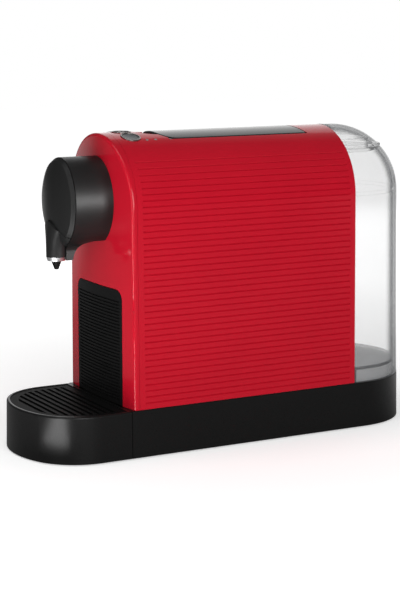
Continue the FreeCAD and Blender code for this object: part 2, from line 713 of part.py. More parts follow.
def body_shell():
    inner = arch_prism(WALL, BODY_FRONT, BODY_REAR)
    shell = arch_prism(0, BODY_FRONT, BODY_REAR).cut(inner)
    scoop_heart = V(0, BREW_FACE, BODY_TOP + SCOOP_RADIUS - SCOOP_DEPTH)
    scoop = Part.makeSphere(SCOOP_RADIUS, scoop_heart)
    scoop_wall = Part.makeSphere(SCOOP_RADIUS + WALL, scoop_heart).common(inner)
    bosses = []
    for side in (-1, 1):
        boss_y = BUTTON_Y + BUTTON_RADIUS + BUTTON_FLANGE + GAP + BOSS_RADIUS
        foot = V(side * BOSS_SIDE, boss_y, BOARD_Z + BOARD_SHEET)
        bosses.append(rod(BOSS_RADIUS, foot, foot + Z_AXIS * BODY_TOP).common(inner))
    shell = join(shell, scoop_wall, lever_lip_seat(), *bosses)
    cutters = [scoop, lever_lip_recess(), lever_slot()] + groove_bars()
    for angle in (-BUTTON_ANGLE, 0, BUTTON_ANGLE):
        cutters.append(crown_rod(BUTTON_RADIUS + GAP + BUTTON_RING, angle, BUTTON_Y, BUTTON_DEPTH, PAST))
    for step in range(2):
        light_y = LIGHT_FRONT + step * LIGHT_PITCH
        cutters.append(crown_rod(LIGHT_RADIUS + FIT, LIGHT_ANGLE, light_y, LIGHT_DEPTH, PAST))
    return shell.cut(cutters)


def front_panel():
    skin = arch_prism(0, FACE_FRONT - PAST, BODY_FRONT - SEAM).common(face_form(0))
    front_edges = []
    for edge in skin.Edges:
        box_y = edge.BoundBox
        if box_y.YMax < FACE_EDGE + FACE_BULGE / 2 and box_y.ZMax > BODY_BOTTOM + WALL:
            front_edges.append(edge)
    skin = skin.makeFillet(FACE_ROUND, front_edges)
    hollow = arch_prism(WALL, FACE_FRONT - PAST, BODY_FRONT).common(face_form(WALL))
    head_hole = head_section(FIT).extrude(V(0, HEAD_FRONT - HEAD_REAR, 0))
    head_hole = head_hole.common(above(HEAD_UNDERSIDE - FIT))
    niche = panel_block(2 * GAP, FACE_FRONT - PAST, BODY_FRONT + PAST, BODY_BOTTOM - PAST)
    return skin.cut([hollow, head_hole, niche])


def rear_panel():
    return arch_prism(WALL + FIT, BODY_REAR - WALL, BODY_REAR - GAP)


# Brew head and spout

def head_section(grow):
    """Oval face of the brew head at its rear end."""
    rise = HEAD_HALF_HEIGHT + grow
    oval = Part.Ellipse(V(0, HEAD_REAR, HEAD_Z + rise), V(HEAD_HALF_WIDTH + grow, HEAD_REAR, HEAD_Z),
                        V(0, HEAD_REAR, HEAD_Z))
    return Part.Face(Part.Wire(oval.toShape()))


def head_barrel():
    length = V(0, HEAD_FRONT - HEAD_REAR, 0)
    barrel = head_section(0).extrude(length)
    bend_y = NECK_BACK + NECK_BEND
    neck = slab(NECK_HALF, HEAD_FRONT + NECK_SET_BACK, bend_y, NECK_LOW, HEAD_Z)
    body = join(barrel, neck)
    creases = []
    for edge in edges_along(body, Y_AXIS):
        middle = edge.CenterOfMass
        if abs(abs(middle.x) - NECK_HALF) < FIT and NECK_LOW + FIT < middle.z < HEAD_Z - FIT:
            creases.append(edge)
    body = body.makeFillet(NECK_FILLET, creases)
    bend_z = HEAD_UNDERSIDE - NECK_BEND
    slope = NECK_BEND * math.sqrt(0.5)
    under = face([
        line(V(0, HEAD_REAR + PAST, HEAD_UNDERSIDE), V(0, bend_y, HEAD_UNDERSIDE)),
        arc(V(0, bend_y, HEAD_UNDERSIDE), V(0, bend_y - slope, bend_z + slope), V(0, NECK_BACK, bend_z)),
        line(V(0, NECK_BACK, bend_z), V(0, NECK_BACK, NECK_LOW - PAST)),
        line(V(0, NECK_BACK, NECK_LOW - PAST), V(0, HEAD_REAR + PAST, NECK_LOW - PAST)),
        line(V(0, HEAD_REAR + PAST, NECK_LOW - PAST), V(0, HEAD_REAR + PAST, HEAD_UNDERSIDE)),
    ])
    under = under.extrude(X_AXIS * 2 * HEAD_HALF_WIDTH)
    under.translate(X_AXIS * -HEAD_HALF_WIDTH)
    hollow = head_section(-WALL).extrude(length)
    roof = under.copy()
    roof.translate(V(0, -WALL, WALL))
    hollow = hollow.cut(roof).cut(below(HEAD_UNDERSIDE + WALL))
    return body.cut([under, hollow, spout_stem(GAP, NECK_LOW - PAST), outlet_room()])


def spout_flare():
    """Front of the spout, round at its ring and widening into the cap."""
    height = BELL_TOP - SPOUT_LOW
    sections = []
    for share, widen, flatten in SPOUT_SECTIONS:
        z = SPOUT_LOW + share * height
        wide = SPOUT_RADIUS + widen
        deep = SPOUT_RADIUS - flatten
        oval = Part.Ellipse(V(wide, SPOUT_Y, z), V(0, SPOUT_Y + deep, z), V(0, SPOUT_Y, z))
        sections.append(Part.Wire(oval.toShape()))
    return Part.makeLoft(sections, True, False).common(bell(0, HEAD_FRONT - CAP_GROOVE))


def spout_stem(grow, low):
    """Round core of the spout that reaches back into the neck, grown by a clearance."""
    core = rod(SPOUT_RADIUS - FIT + grow, V(0, SPOUT_Y, low), V(0, SPOUT_Y, BELL_FOOT + grow))
    return core.common(behind(SPOUT_Y))


def cap_form():
    """Domed oval cap with a set-in edge, turned round and stretched upright."""
    rim = HEAD_HALF_WIDTH - CAP_INSET
    base = HEAD_FRONT - CAP_GROOVE
    edge_y = base - CAP_LAND
    sag = edge_y - CAP_TIP
    dome = (rim ** 2 + sag ** 2) / (2 * sag)
    half_angle = math.asin(rim / dome) / 2
    bow = V(dome * math.sin(half_angle), CAP_TIP + dome * (1 - math.cos(half_angle)), 0)
    section = face([
        line(V(0, base, 0), V(HEAD_HALF_WIDTH - FIT, base, 0)),
        line(V(HEAD_HALF_WIDTH - FIT, base, 0), V(rim, edge_y, 0)),
        arc(V(rim, edge_y, 0), bow, V(0, CAP_TIP, 0)),
        line(V(0, CAP_TIP, 0), V(0, base, 0)),
    ])
    turned = section.revolve(ORIGIN, Y_AXIS, 360)
    stretch = FreeCAD.Matrix()
    stretch.scale(1, 1, HEAD_HALF_HEIGHT / HEAD_HALF_WIDTH)
    turned = turned.transformGeometry(stretch)
    turned.translate(V(0, 0, HEAD_Z))
    spigot = head_section(-WALL - FIT).extrude(V(0, base - HEAD_REAR, 0))
    spigot = spigot.common(ahead_of(HEAD_FRONT + CAP_LAND)).common(above(HEAD_UNDERSIDE + 2 * WALL))
    return join(turned, spigot)


def bell(grow, rear):
    """Bell-shaped field that the spout cover takes out of the cap, back to a plane."""
    front = CAP_TIP - PAST
    middle_z = (BELL_TOP + BELL_FOOT) / 2 + grow
    curve = Part.BSplineCurve()
    curve.interpolate([
        V(-BELL_HALF, front, BELL_FOOT + grow),
        V(-BELL_HALF / 2, front, middle_z),
        V(0, front, BELL_TOP + grow),
        V(BELL_HALF / 2, front, middle_z),
        V(BELL_HALF, front, BELL_FOOT + grow),
    ])
    low = SPOUT_LOW - PAST
    field = face([
        curve.toShape(),
        line(V(BELL_HALF, front, BELL_FOOT + grow), V(BELL_HALF, front, low)),
        line(V(BELL_HALF, front, low), V(-BELL_HALF, front, low)),
        line(V(-BELL_HALF, front, low), V(-BELL_HALF, front, BELL_FOOT + grow)),
    ])
    return field.extrude(V(0, rear - front, 0))


def head_cap():
    return cap_form().cut([bell(BELL_SEAM, HEAD_FRONT - CAP_GROOVE), outlet_room()])


def spout_cover():
    shield = cap_form().common(bell(0, HEAD_FRONT - CAP_GROOVE))
    return join(shield, spout_flare(), spout_stem(0, SPOUT_LOW)).cut(outlet_room())


def outlet_path():
    """Route of the coffee from the brew plate to the spout."""
    return [V(0, FRAME_FRONT, OUTLET_Z), V(0, SPOUT_Y, OUTLET_Z), V(0, SPOUT_Y, SPOUT_LOW)]


def outlet_room():
    """Space that the outlet pipe needs inside the head and the spout."""
    return sweep(outlet_path(), OUTLET_RADIUS + GAP, OUTLET_BEND)


def outlet_pipe():
    return pipe(outlet_path(), OUTLET_RADIUS, OUTLET_BORE, OUTLET_BEND)


def spout_ring():
    low = SPOUT_LOW - RING_HEIGHT
    ring = Part.makeCone(SPOUT_RADIUS - RING_TAPER, SPOUT_RADIUS, RING_HEIGHT, V(0, SPOUT_Y, low))
    return ring.cut(rod(NOZZLE_RADIUS + FIT, V(0, SPOUT_Y, low - PAST), V(0, SPOUT_Y, SPOUT_LOW)))


def spout_nozzle():
    """Tapered nozzle with flutes that guide the last drops to its tip."""
    low = SPOUT_LOW - RING_HEIGHT
    stem = rod(NOZZLE_RADIUS, V(0, SPOUT_Y, low), V(0, SPOUT_Y, SPOUT_LOW))
    tip = Part.makeCone(NOZZLE_TIP_RADIUS, NOZZLE_RADIUS, low - NOZZLE_LOW, V(0, SPOUT_Y, NOZZLE_LOW))
    flutes = []
    for index in range(NOZZLE_RIBS):
        turn = 2 * math.pi * index / NOZZLE_RIBS
        out = V(math.cos(turn), math.sin(turn), 0)
        heart = V(0, SPOUT_Y, 0)
        top = heart + out * NOZZLE_RADIUS + Z_AXIS * low
        bottom = heart + out * NOZZLE_TIP_RADIUS + Z_AXIS * (NOZZLE_LOW - FIT)
        flutes.append(rod(NOZZLE_TIP_RADIUS / 3, bottom, top))
    bore = rod(OUTLET_BORE / 2, V(0, SPOUT_Y, NOZZLE_LOW - PAST), V(0, SPOUT_Y, SPOUT_LOW + PAST))
    return join(stem, tip.cut(flutes)).cut(bore)


# Lever, cam slots and brew chamber

def cam_point(share):
    """Where the follower pin lies in the lever, at a share of the lever's opening."""
    turn = math.radians(LEVER_OPENING) * share
    y = FOLLOWER_Y + PISTON_STROKE * share - HINGE_Y
    z = FOLLOWER_Z - HINGE_Z
    return V(0, HINGE_Y + y * math.cos(turn) - z * math.sin(turn),
             HINGE_Z + y * math.sin(turn) + z * math.cos(turn))


def cam_shares():
    """Evenly spaced shares of the lever's opening."""
    return [index / CAM_STEPS for index in range(CAM_STEPS + 1)]


def cam_side(reach, shares):
    """Points beside the cam line, at one distance from it."""
    points = []
    for share in shares:
        step = 0.001
        ahead = (cam_point(share + step) - cam_point(share - step)).normalize()
        points.append(cam_point(share) + V(0, -ahead.z, ahead.y) * reach)
    return points


def cam_band(reach):
    """Curved slot of a half-width, with round ends, that runs along the cam line."""
    shares = cam_shares()
    left = Part.BSplineCurve()
    left.interpolate(cam_side(reach, shares))
    right = Part.BSplineCurve()
    right.interpolate(cam_side(-reach, shares))
    band = face([
        left.toShape(),
        line(cam_side(reach, [1])[0], cam_side(-reach, [1])[0]),
        right.toShape(),
        line(cam_side(-reach, [0])[0], cam_side(reach, [0])[0]),
    ]).extrude(X_AXIS * CHEEK_THICKNESS)
    start = rod(reach, cam_point(0), cam_point(0) + X_AXIS * CHEEK_THICKNESS)
    end = rod(reach, cam_point(1), cam_point(1) + X_AXIS * CHEEK_THICKNESS)
    return join(band, start, end)


def lever_cheek():
    """Cam plate under the lever, with its slot and its hinge eye."""
    reach = HINGE_PIN + CHEEK_MARGIN
    top = CROWN_CENTRE + math.sqrt((CROWN_RADIUS - LEVER_THICKNESS / 2) ** 2 - CHEEK_OUTER ** 2)
    start = cam_point(0)
    web = polygon([
        V(0, start.y - reach, top),
        V(0, start.y - reach, start.z),
        V(0, cam_point(0.5).y, cam_point(0.5).z),
        V(0, cam_point(1).y, cam_point(1).z),
        V(0, HINGE_Y + reach, HINGE_Z),
        V(0, HINGE_Y, top),
    ]).extrude(X_AXIS * CHEEK_THICKNESS)
    eye = rod(reach, V(0, HINGE_Y, HINGE_Z), V(CHEEK_THICKNESS, HINGE_Y, HINGE_Z))
    cheek = join(web, eye, cam_band(CAM_REACH))
    hinge_bore = rod(HINGE_PIN + RUNNING, V(-PAST, HINGE_Y, HINGE_Z), V(PAST, HINGE_Y, HINGE_Z))
    return cheek.cut([cam_band(CAM_HALF), hinge_bore])


def lever():
    hinge = V(-LEVER_HALF, HINGE_Y, HINGE_Z)
    sweep = rod(HINGE_SWEEP, hinge, hinge + X_AXIS * 2 * LEVER_HALF)
    skin = crown_skin(0, LEVER_THICKNESS, LEVER_FRONT, HINGE_Y + HINGE_SWEEP)
    plate = skin.common(join(lever_plan(0, HINGE_Y), sweep)).common(above(HINGE_Z))
    rim = []
    for edge in plate.Edges:
        points = edge.discretize(3)
        reach = [math.hypot(point.x, point.z - CROWN_CENTRE) for point in points]
        if min(reach) > CROWN_RADIUS - FIT and abs(points[1].x) > FIT:
            rim.append(edge)
    plate = plate.makeFillet(LEVER_ROUND, rim)
    near = lever_cheek()
    near.translate(X_AXIS * CHEEK_INNER)
    return join(plate, near, near.mirror(ORIGIN, X_AXIS))


def lever_pin():
    return rod(HINGE_PIN, V(-FRAME_OUTER, HINGE_Y, HINGE_Z), V(FRAME_OUTER, HINGE_Y, HINGE_Z))


def brew_frame():
    """Two side plates with guide slots, tied at the rear and at the foot."""
    ear = HINGE_PIN * 2
    side = polygon([
        V(0, FRAME_FRONT, FRAME_LOW),
        V(0, FRAME_REAR, FRAME_LOW),
        V(0, HINGE_Y + ear, HINGE_Z - ear),
        V(0, HINGE_Y + ear, HINGE_Z),
        V(0, HINGE_Y - ear, HINGE_Z),
        V(0, FRAME_REAR - HINGE_PIN - ear, BREW_Z + CHAMBER_RADIUS),
        V(0, FRAME_FRONT, BREW_Z + CHAMBER_RADIUS),
    ]).extrude(X_AXIS * FRAME_SHEET)
    eye = rod(ear, V(0, HINGE_Y, HINGE_Z), V(FRAME_SHEET, HINGE_Y, HINGE_Z))
    slot = box(-PAST, PAST, BREW_FACE, BREW_FACE + CHAMBER_LENGTH + PISTON_STROKE + PAST,
               BREW_Z - RAIL_HALF - GAP, BREW_Z + RAIL_HALF + GAP)
    side = join(side, eye).cut(slot)
    side.translate(X_AXIS * FRAME_INNER)
    cheek_low = min(cam_point(share).z for share in cam_shares()) - CAM_REACH
    tie_front = FRAME_REAR - FRAME_SHEET
    rear_tie = slab(FRAME_INNER, tie_front, FRAME_REAR, BREW_Z - CHAMBER_RADIUS, cheek_low - 2 * GAP)
    feed_holder = slab(YOKE_HALF, tie_front, FRAME_REAR, BREW_Z - CHAMBER_RADIUS, BREW_Z + FEED_RADIUS * 2)
    front_tie = slab(FRAME_INNER, FRAME_FRONT, BREW_FACE, FRAME_LOW, FRAME_LOW + FRAME_SHEET)
    frame = join(side, side.mirror(ORIGIN, X_AXIS), rear_tie, feed_holder, front_tie)
    pin_bore = rod(HINGE_PIN, V(-BASE_LENGTH, HINGE_Y, HINGE_Z), V(BASE_LENGTH, HINGE_Y, HINGE_Z))
    feed_bore = rod(FEED_RADIUS, V(0, FRAME_REAR - PAST, BREW_Z), V(0, FRAME_REAR + PAST, BREW_Z))
    return frame.cut([pin_bore, feed_bore])


def brew_plate():
    """Plate that the chamber closes against, with a sieve and the outlet to the spout."""
    plate = slab(FRAME_INNER - FIT, FRAME_FRONT, BREW_FACE - GAP,
                 FRAME_LOW + FRAME_SHEET, BREW_Z + CHAMBER_RADIUS)
    holes = [rod(OUTLET_BORE, V(0, FRAME_FRONT - PAST, OUTLET_Z), V(0, BREW_FACE + PAST, OUTLET_Z))]
    sieve = CHAMBER_BORE / 2
    for index in range(6):
        turn = math.pi * index / 3
        start = V(sieve * math.cos(turn), BREW_FACE - BREW_PLATE / 2, BREW_Z + sieve * math.sin(turn))
        holes.append(rod(FEED_BORE, start, start + Y_AXIS * BREW_PLATE))
    return plate.cut(holes)


def brew_chamber():
    """Sliding capsule chamber with its rails, its feed sleeve and its yoke."""
    rear = BREW_FACE + CHAMBER_LENGTH
    bell_body = rod(CHAMBER_RADIUS, V(0, BREW_FACE, BREW_Z), V(0, rear, BREW_Z))
    rails = slab(FRAME_OUTER, BREW_FACE + CHAMBER_DEPTH, rear, BREW_Z - RAIL_HALF, BREW_Z + RAIL_HALF)
    yoke = polygon([
        V(-YOKE_HALF, rear - PAST, BREW_Z + FEED_RADIUS * 2),
        V(-YOKE_HALF, FOLLOWER_Y + FOLLOWER_PIN * 2, FOLLOWER_Z - FOLLOWER_PIN * 2),
        V(-YOKE_HALF, FOLLOWER_Y + FOLLOWER_PIN * 2, FOLLOWER_Z + FOLLOWER_PIN * 2),
        V(-YOKE_HALF, FOLLOWER_Y - FOLLOWER_PIN * 2, FOLLOWER_Z + FOLLOWER_PIN * 2),
        V(-YOKE_HALF, rear - PAST, BREW_Z + CHAMBER_BORE),
    ]).extrude(X_AXIS * 2 * YOKE_HALF)
    well = Part.makeCone(CHAMBER_BORE, CHAMBER_BORE - WALL, CHAMBER_DEPTH, V(0, BREW_FACE, BREW_Z), Y_AXIS)
    feed = rod(FEED_RADIUS + RUNNING, V(0, BREW_FACE, BREW_Z), V(0, rear + PAST, BREW_Z))
    pin_start = V(-FRAME_OUTER, FOLLOWER_Y, FOLLOWER_Z)
    pin_bore = rod(FOLLOWER_PIN, pin_start, pin_start + X_AXIS * 2 * FRAME_OUTER)
    return join(bell_body, rails, yoke).cut([well, feed, pin_bore])


def follower_pin():
    end = CHEEK_OUTER + FOLLOWER_PIN
    return rod(FOLLOWER_PIN, V(-end, FOLLOWER_Y, FOLLOWER_Z), V(end, FOLLOWER_Y, FOLLOWER_Z))


def feed_tube():
    front = BREW_FACE + CHAMBER_DEPTH + PAST
    tube = rod(FEED_RADIUS, V(0, front, BREW_Z), V(0, FRAME_REAR + PAST, BREW_Z))
    return tube.cut(rod(FEED_BORE, V(0, front - PAST, BREW_Z), V(0, FRAME_REAR + 2 * PAST, BREW_Z)))


def capsule_chute():
    """Funnel that guides a capsule from the lever's opening into the chamber."""
    outer = slab(CHUTE_HALF + CHUTE_WALL, BREW_FACE, CHUTE_REAR + CHUTE_WALL, CHUTE_LOW, CHUTE_HIGH)
    inner = slab(CHUTE_HALF, BREW_FACE + CHUTE_WALL, CHUTE_REAR, CHUTE_LOW - PAST, CHUTE_HIGH + PAST)
    legs = []
    for side in (-1, 1):
        reach = sorted((side * CHUTE_HALF, side * FRAME_OUTER))
        legs.append(box(reach[0], reach[1], BREW_FACE, CHUTE_REAR,
                        BREW_Z + CHAMBER_RADIUS, CHUTE_LOW + CHUTE_WALL))
    return join(outer, *legs).cut(inner)


# Buttons, lights and their board

def button(angle):
    stem = crown_rod(BUTTON_RADIUS, angle, BUTTON_Y, BUTTON_DEPTH, 0)
    ball = (BUTTON_RADIUS ** 2 + BUTTON_DISH ** 2) / (2 * BUTTON_DISH)
    dish_heart = V(0, BUTTON_Y, CROWN_CENTRE) + crown_normal(angle) * (CROWN_RADIUS - BUTTON_DISH + ball)
    flange_radius = BUTTON_RADIUS + BUTTON_FLANGE
    flange = crown_rod(flange_radius, angle, BUTTON_Y, BUTTON_DEPTH, -BUTTON_RING_DEPTH - GAP)
    return join(stem, flange).cut(Part.makeSphere(ball, dish_heart))


def button_rings():
    rings = []
    for angle in (-BUTTON_ANGLE, 0, BUTTON_ANGLE):
        outer = crown_rod(BUTTON_RADIUS + GAP + BUTTON_RING - FIT / 2, angle, BUTTON_Y,
                          BUTTON_RING_DEPTH, BUTTON_RING_PROUD)
        ring = outer.cut(crown_rod(BUTTON_RADIUS + GAP, angle, BUTTON_Y, BUTTON_DEPTH, PAST))
        heart = V(0, BUTTON_Y, CROWN_CENTRE)
        top = CROWN_RADIUS + BUTTON_RING_PROUD
        upper = [edge for edge in ring.Edges
                 if edge.Closed and (edge.CenterOfMass - heart).Length > top - FIT]
        rings.append(ring.makeFillet(BUTTON_RING_EDGE, upper))
    return Part.makeCompound(rings)


def indicator_lights():
    lights = []
    for step in range(2):
        light_y = LIGHT_FRONT + step * LIGHT_PITCH
        lights.append(crown_rod(LIGHT_RADIUS, LIGHT_ANGLE, light_y, LIGHT_DEPTH, FIT))
    return Part.makeCompound(lights)


def button_board():
    """Circuit board with one switch post under each button."""
    front = BUTTON_Y - BOARD_LENGTH / 2 + BOSS_RADIUS
    board = slab(BOARD_HALF, front, front + BOARD_LENGTH, BOARD_Z, BOARD_Z + BOARD_SHEET)
    posts = []
    for angle in (-BUTTON_ANGLE, 0, BUTTON_ANGLE):
        deep = BUTTON_DEPTH + BUTTON_TRAVEL + GAP
        heart = V(0, BUTTON_Y, CROWN_CENTRE)
        top = heart + crown_normal(angle) * (CROWN_RADIUS - deep)
        posts.append(rod(BOSS_RADIUS, V(top.x, top.y, BOARD_Z), V(top.x, top.y, top.z - BOSS_RADIUS / 3)))
    return join(board, *posts)


# Water tank, lid, valve and dock

def lid_axis(x):
    return V(x, LID_AXIS_Y, LID_AXIS_Z)


def lid_ears():
    """Two hinge ears that rise from the tank's front wall."""
    ears = []
    for side in (-1, 1):
        x0, x1 = sorted((side * LID_EAR_INNER, side * (LID_EAR_INNER + LID_EAR_WIDTH)))
        rear = LID_AXIS_Y + LID_KNUCKLE - GAP
        ears.append(box(x0, x1, TANK_FRONT, rear, LID_SEAM - 2 * LID_RIM, LID_AXIS_Z))
        ears.append(rod(LID_KNUCKLE - GAP, lid_axis(x0), lid_axis(x1)))
    return join(*ears)


def lid_ear_slots():
    """Slots in the lid that the ears stand in."""
    slots = []
    for side in (-1, 1):
        x0, x1 = sorted((side * (LID_EAR_INNER - GAP), side * (LID_EAR_INNER + LID_EAR_WIDTH + GAP)))
        slots.append(box(x0, x1, TANK_FRONT - PAST, LID_AXIS_Y + LID_KNUCKLE + GAP,
                         LID_SEAM - LID_PLUG - PAST, BODY_TOP + PAST))
    return Part.makeCompound(slots)


def water_tank():
    hollow = tank_form(TANK_WALL)
    tank = tank_form(0).common(below(LID_SEAM))
    tank = tank.cut([hollow.common(above(TANK_BED)), hollow.common(below(TANK_UNDERSIDE))])
    boss = rod(VALVE_BOSS, V(0, VALVE_Y, TANK_UNDERSIDE), V(0, VALVE_Y, TANK_BED + TANK_FLOOR))
    hole = rod(VALVE_STEM + GAP, V(0, VALVE_Y, 0), V(0, VALVE_Y, TANK_BED + PAST))
    pin = rod(LID_PIN, lid_axis(-BASE_LENGTH), lid_axis(BASE_LENGTH))
    ledge = hollow.cut(tank_form(TANK_WALL + TANK_RIB))
    ledge = ledge.common(above(CROWN_CENTRE)).common(below(CROWN_CENTRE + TANK_RIB_HEIGHT))
    return join(tank, ledge, boss, lid_ears()).cut([hole, pin])


def tank_lid():
    seam = LID_SEAM + LID_GAP
    dome = tank_form(0).common(above(seam))
    front_edges = []
    for edge in dome.Edges:
        span = edge.BoundBox
        if span.YMax < TANK_FRONT + FIT and span.ZMax > BODY_TOP - FIT:
            front_edges.append(edge)
    dome = dome.makeFillet(LID_EDGE, front_edges)
    mouth = math.sqrt((CROWN_RADIUS - TANK_WALL) ** 2 - (LID_SEAM - CROWN_CENTRE) ** 2) - LID_PLUG_GAP
    front = TANK_FRONT + TANK_WALL + LID_PLUG_GAP
    hollow = tank_form(TANK_WALL).common(above(seam + LID_PLATE))
    window = dome_plan(mouth - LID_RIM, front + LID_RIM, seam - PAST, seam + LID_PLATE + PAST)
    plug = dome_plan(mouth, front, LID_SEAM - LID_PLUG, seam)
    plug_hole = dome_plan(mouth - LID_PLUG_WALL, front + LID_PLUG_WALL, LID_SEAM - LID_PLUG - PAST, seam)
    knuckle = rod(LID_KNUCKLE, lid_axis(-LID_EAR_INNER + GAP), lid_axis(LID_EAR_INNER - GAP))
    pin = rod(LID_PIN + RUNNING, lid_axis(-BASE_LENGTH), lid_axis(BASE_LENGTH))
    lip_z = seam + LID_LIP
    reach = math.sqrt(CROWN_RADIUS ** 2 - (lip_z - CROWN_CENTRE) ** 2)
    lip = Part.makeTorus(reach, LID_LIP, V(0, REAR_CENTRE, lip_z), Z_AXIS, 0, 360, LID_LIP_ANGLE)
    lip.rotate(V(0, REAR_CENTRE, lip_z), Z_AXIS, 90 - LID_LIP_ANGLE / 2)
    lid = join(dome.cut([hollow, window]), plug.cut(plug_hole), knuckle, lip.cut(hollow))
    return lid.cut([lid_ear_slots(), pin])


def lid_pin():
    end = LID_EAR_INNER + LID_EAR_WIDTH
    return rod(LID_PIN, lid_axis(-end), lid_axis(end))


def tank_valve():
    """Spring valve in the tank's floor, drawn shut."""
    seat = TANK_BED + TANK_FLOOR + FIT
    stem = rod(VALVE_STEM, V(0, VALVE_Y, DOCK_TOP - SOCKET_DEPTH + SEAL_HEIGHT), V(0, VALVE_Y, seat))
    head = rod(VALVE_HEAD, V(0, VALVE_Y, seat), V(0, VALVE_Y, seat + VALVE_HEAD_HEIGHT))
    return join(stem, head)


def tank_dock():
    """Pedestal that the tank drops over, with a dish and the valve's socket."""
    half = BODY_HALF_WIDTH - TANK_WALL - DOCK_GAP
    front = TANK_FRONT + TANK_WALL + DOCK_GAP
    block = dome_plan(half, front, BASE_TOP, DOCK_TOP)
    dish = dome_plan(half - DOCK_RIM, front + DOCK_RIM, DOCK_TOP - DOCK_DISH, DOCK_TOP + PAST)
    dish = dish.cut(rod(VALVE_BOSS + WALL, V(0, VALVE_Y, 0), V(0, VALVE_Y, DOCK_TOP + 2 * PAST)))
    socket = rod(SOCKET_RADIUS, V(0, VALVE_Y, DOCK_TOP - SOCKET_DEPTH), V(0, VALVE_Y, DOCK_TOP + PAST))
    spigot = rod(HOSE_RADIUS, V(0, VALVE_Y, BASE_TOP - DECK), V(0, VALVE_Y, BASE_TOP))
    drain = rod(HOSE_BORE, V(0, VALVE_Y, 0), V(0, VALVE_Y, DOCK_TOP))
    return join(block.cut([dish, socket]), spigot).cut(drain)


def dock_seal():
    low = DOCK_TOP - SOCKET_DEPTH
    ring = rod(SOCKET_RADIUS, V(0, VALVE_Y, low), V(0, VALVE_Y, low + SEAL_HEIGHT))
    return ring.cut(rod(SOCKET_RADIUS - SEAL_WALL, V(0, VALVE_Y, low), V(0, VALVE_Y, low + SEAL_HEIGHT)))


# Inner works

def chassis():
    """Shroud round the capsule bin that also carries the brew unit."""
    outer = CHASSIS_INNER + CHASSIS_SHEET
    front = BODY_FRONT + WALL
    block = slab(outer, front, CHASSIS_REAR, BASE_TOP, CHASSIS_TOP)
    room = slab(CHASSIS_INNER, front - PAST, NICHE_REAR, BASE_TOP - PAST, CHASSIS_TOP - CHASSIS_ROOF)
    drop = slab(CHUTE_HALF + CHUTE_WALL, BREW_FACE, CHUTE_REAR, BASE_TOP, CHASSIS_TOP + PAST)
    shelf = slab(FRAME_OUTER, CHASSIS_REAR, FRAME_REAR, CHASSIS_TOP - CHASSIS_ROOF, CHASSIS_TOP)
    return join(block, shelf).cut([room, drop])


def pump_axis(y):
    return V(PUMP_X, y, PUMP_Z)


def pump():
    """Vibration pump: coil block between two necks, with a port at each end."""
    coil_front = PUMP_FRONT + PUMP_NECK_LENGTH
    coil_rear = coil_front + PUMP_COIL_LENGTH
    rear = coil_rear + PUMP_NECK_LENGTH
    coil = box(PUMP_X - PUMP_COIL, PUMP_X + PUMP_COIL, coil_front, coil_rear,
               PUMP_Z - PUMP_COIL, PUMP_Z + PUMP_COIL)
    necks = rod(PUMP_NECK, pump_axis(PUMP_FRONT), pump_axis(rear))
    ports = rod(PUMP_PORT, pump_axis(PUMP_FRONT - PUMP_PORT_LENGTH), pump_axis(rear + PUMP_PORT_LENGTH))
    return join(coil, necks, ports)


def pump_mounts():
    """Rubber saddles on the deck, one under each neck of the pump."""
    front = PUMP_FRONT + (PUMP_NECK_LENGTH - MOUNT_LENGTH) / 2
    pitch = PUMP_NECK_LENGTH + PUMP_COIL_LENGTH
    saddles = []
    for y in (front, front + pitch):
        block = box(PUMP_X - MOUNT_HALF, PUMP_X + MOUNT_HALF, y, y + MOUNT_LENGTH, BASE_TOP, PUMP_Z)
        saddles.append(block.cut(rod(PUMP_NECK, pump_axis(y - PAST), pump_axis(y + MOUNT_LENGTH + PAST))))
    return Part.makeCompound(saddles)


def thermoblock():
    """Cast heater block with rounded edges, an inlet at the rear and an outlet on top."""
    block = box(HEATER_X - HEATER_HALF, HEATER_X + HEATER_HALF, HEATER_FRONT, HEATER_FRONT + HEATER_LENGTH,
                HEATER_LOW, HEATER_LOW + HEATER_HEIGHT)
    block = block.makeFillet(HEATER_ROUND, edges_along(block, Y_AXIS))
    inlet = heater_inlet()
    outlet = heater_outlet()
    return join(block, rod(HEATER_PORT, inlet - Y_AXIS * HEATER_HALF, inlet),
                rod(HEATER_PORT, outlet - Z_AXIS * HEATER_HALF, outlet))


def heater_inlet():
    return V(HEATER_X, HEATER_FRONT + HEATER_LENGTH + HEATER_PORT, HEATER_LOW + HEATER_HEIGHT / 2)


def heater_outlet():
    return V(HEATER_X + HEATER_HALF / 2, HEATER_FRONT + HEATER_LENGTH - HEATER_HALF,
             HEATER_LOW + HEATER_HEIGHT + HEATER_PORT)


def heater_bracket():
    """Two bent sheet legs between the deck and the heater block."""
    legs = []
    for y in (HEATER_FRONT + LEG_WIDTH / 2, HEATER_FRONT + HEATER_LENGTH - LEG_WIDTH * 1.5):
        outer = box(HEATER_X - HEATER_HALF, HEATER_X + HEATER_HALF, y, y + LEG_WIDTH, BASE_TOP, HEATER_LOW)
        inner = box(HEATER_X - HEATER_HALF + LEG_SHEET, HEATER_X + HEATER_HALF - LEG_SHEET, y - PAST,
                    y + LEG_WIDTH + PAST, BASE_TOP - PAST, HEATER_LOW - LEG_SHEET)
        legs.append(outer.cut(inner))
    return Part.makeCompound(legs)


def flow_meter():
    foot = V(METER_X, METER_Y, BASE_TOP)
    drum = rod(METER_RADIUS, foot, foot + Z_AXIS * METER_HEIGHT)
    middle = foot + Z_AXIS * METER_HEIGHT / 2
    outlet = rod(HOSE_RADIUS, middle, middle - X_AXIS * (METER_RADIUS + PAST))
    return join(drum, outlet)


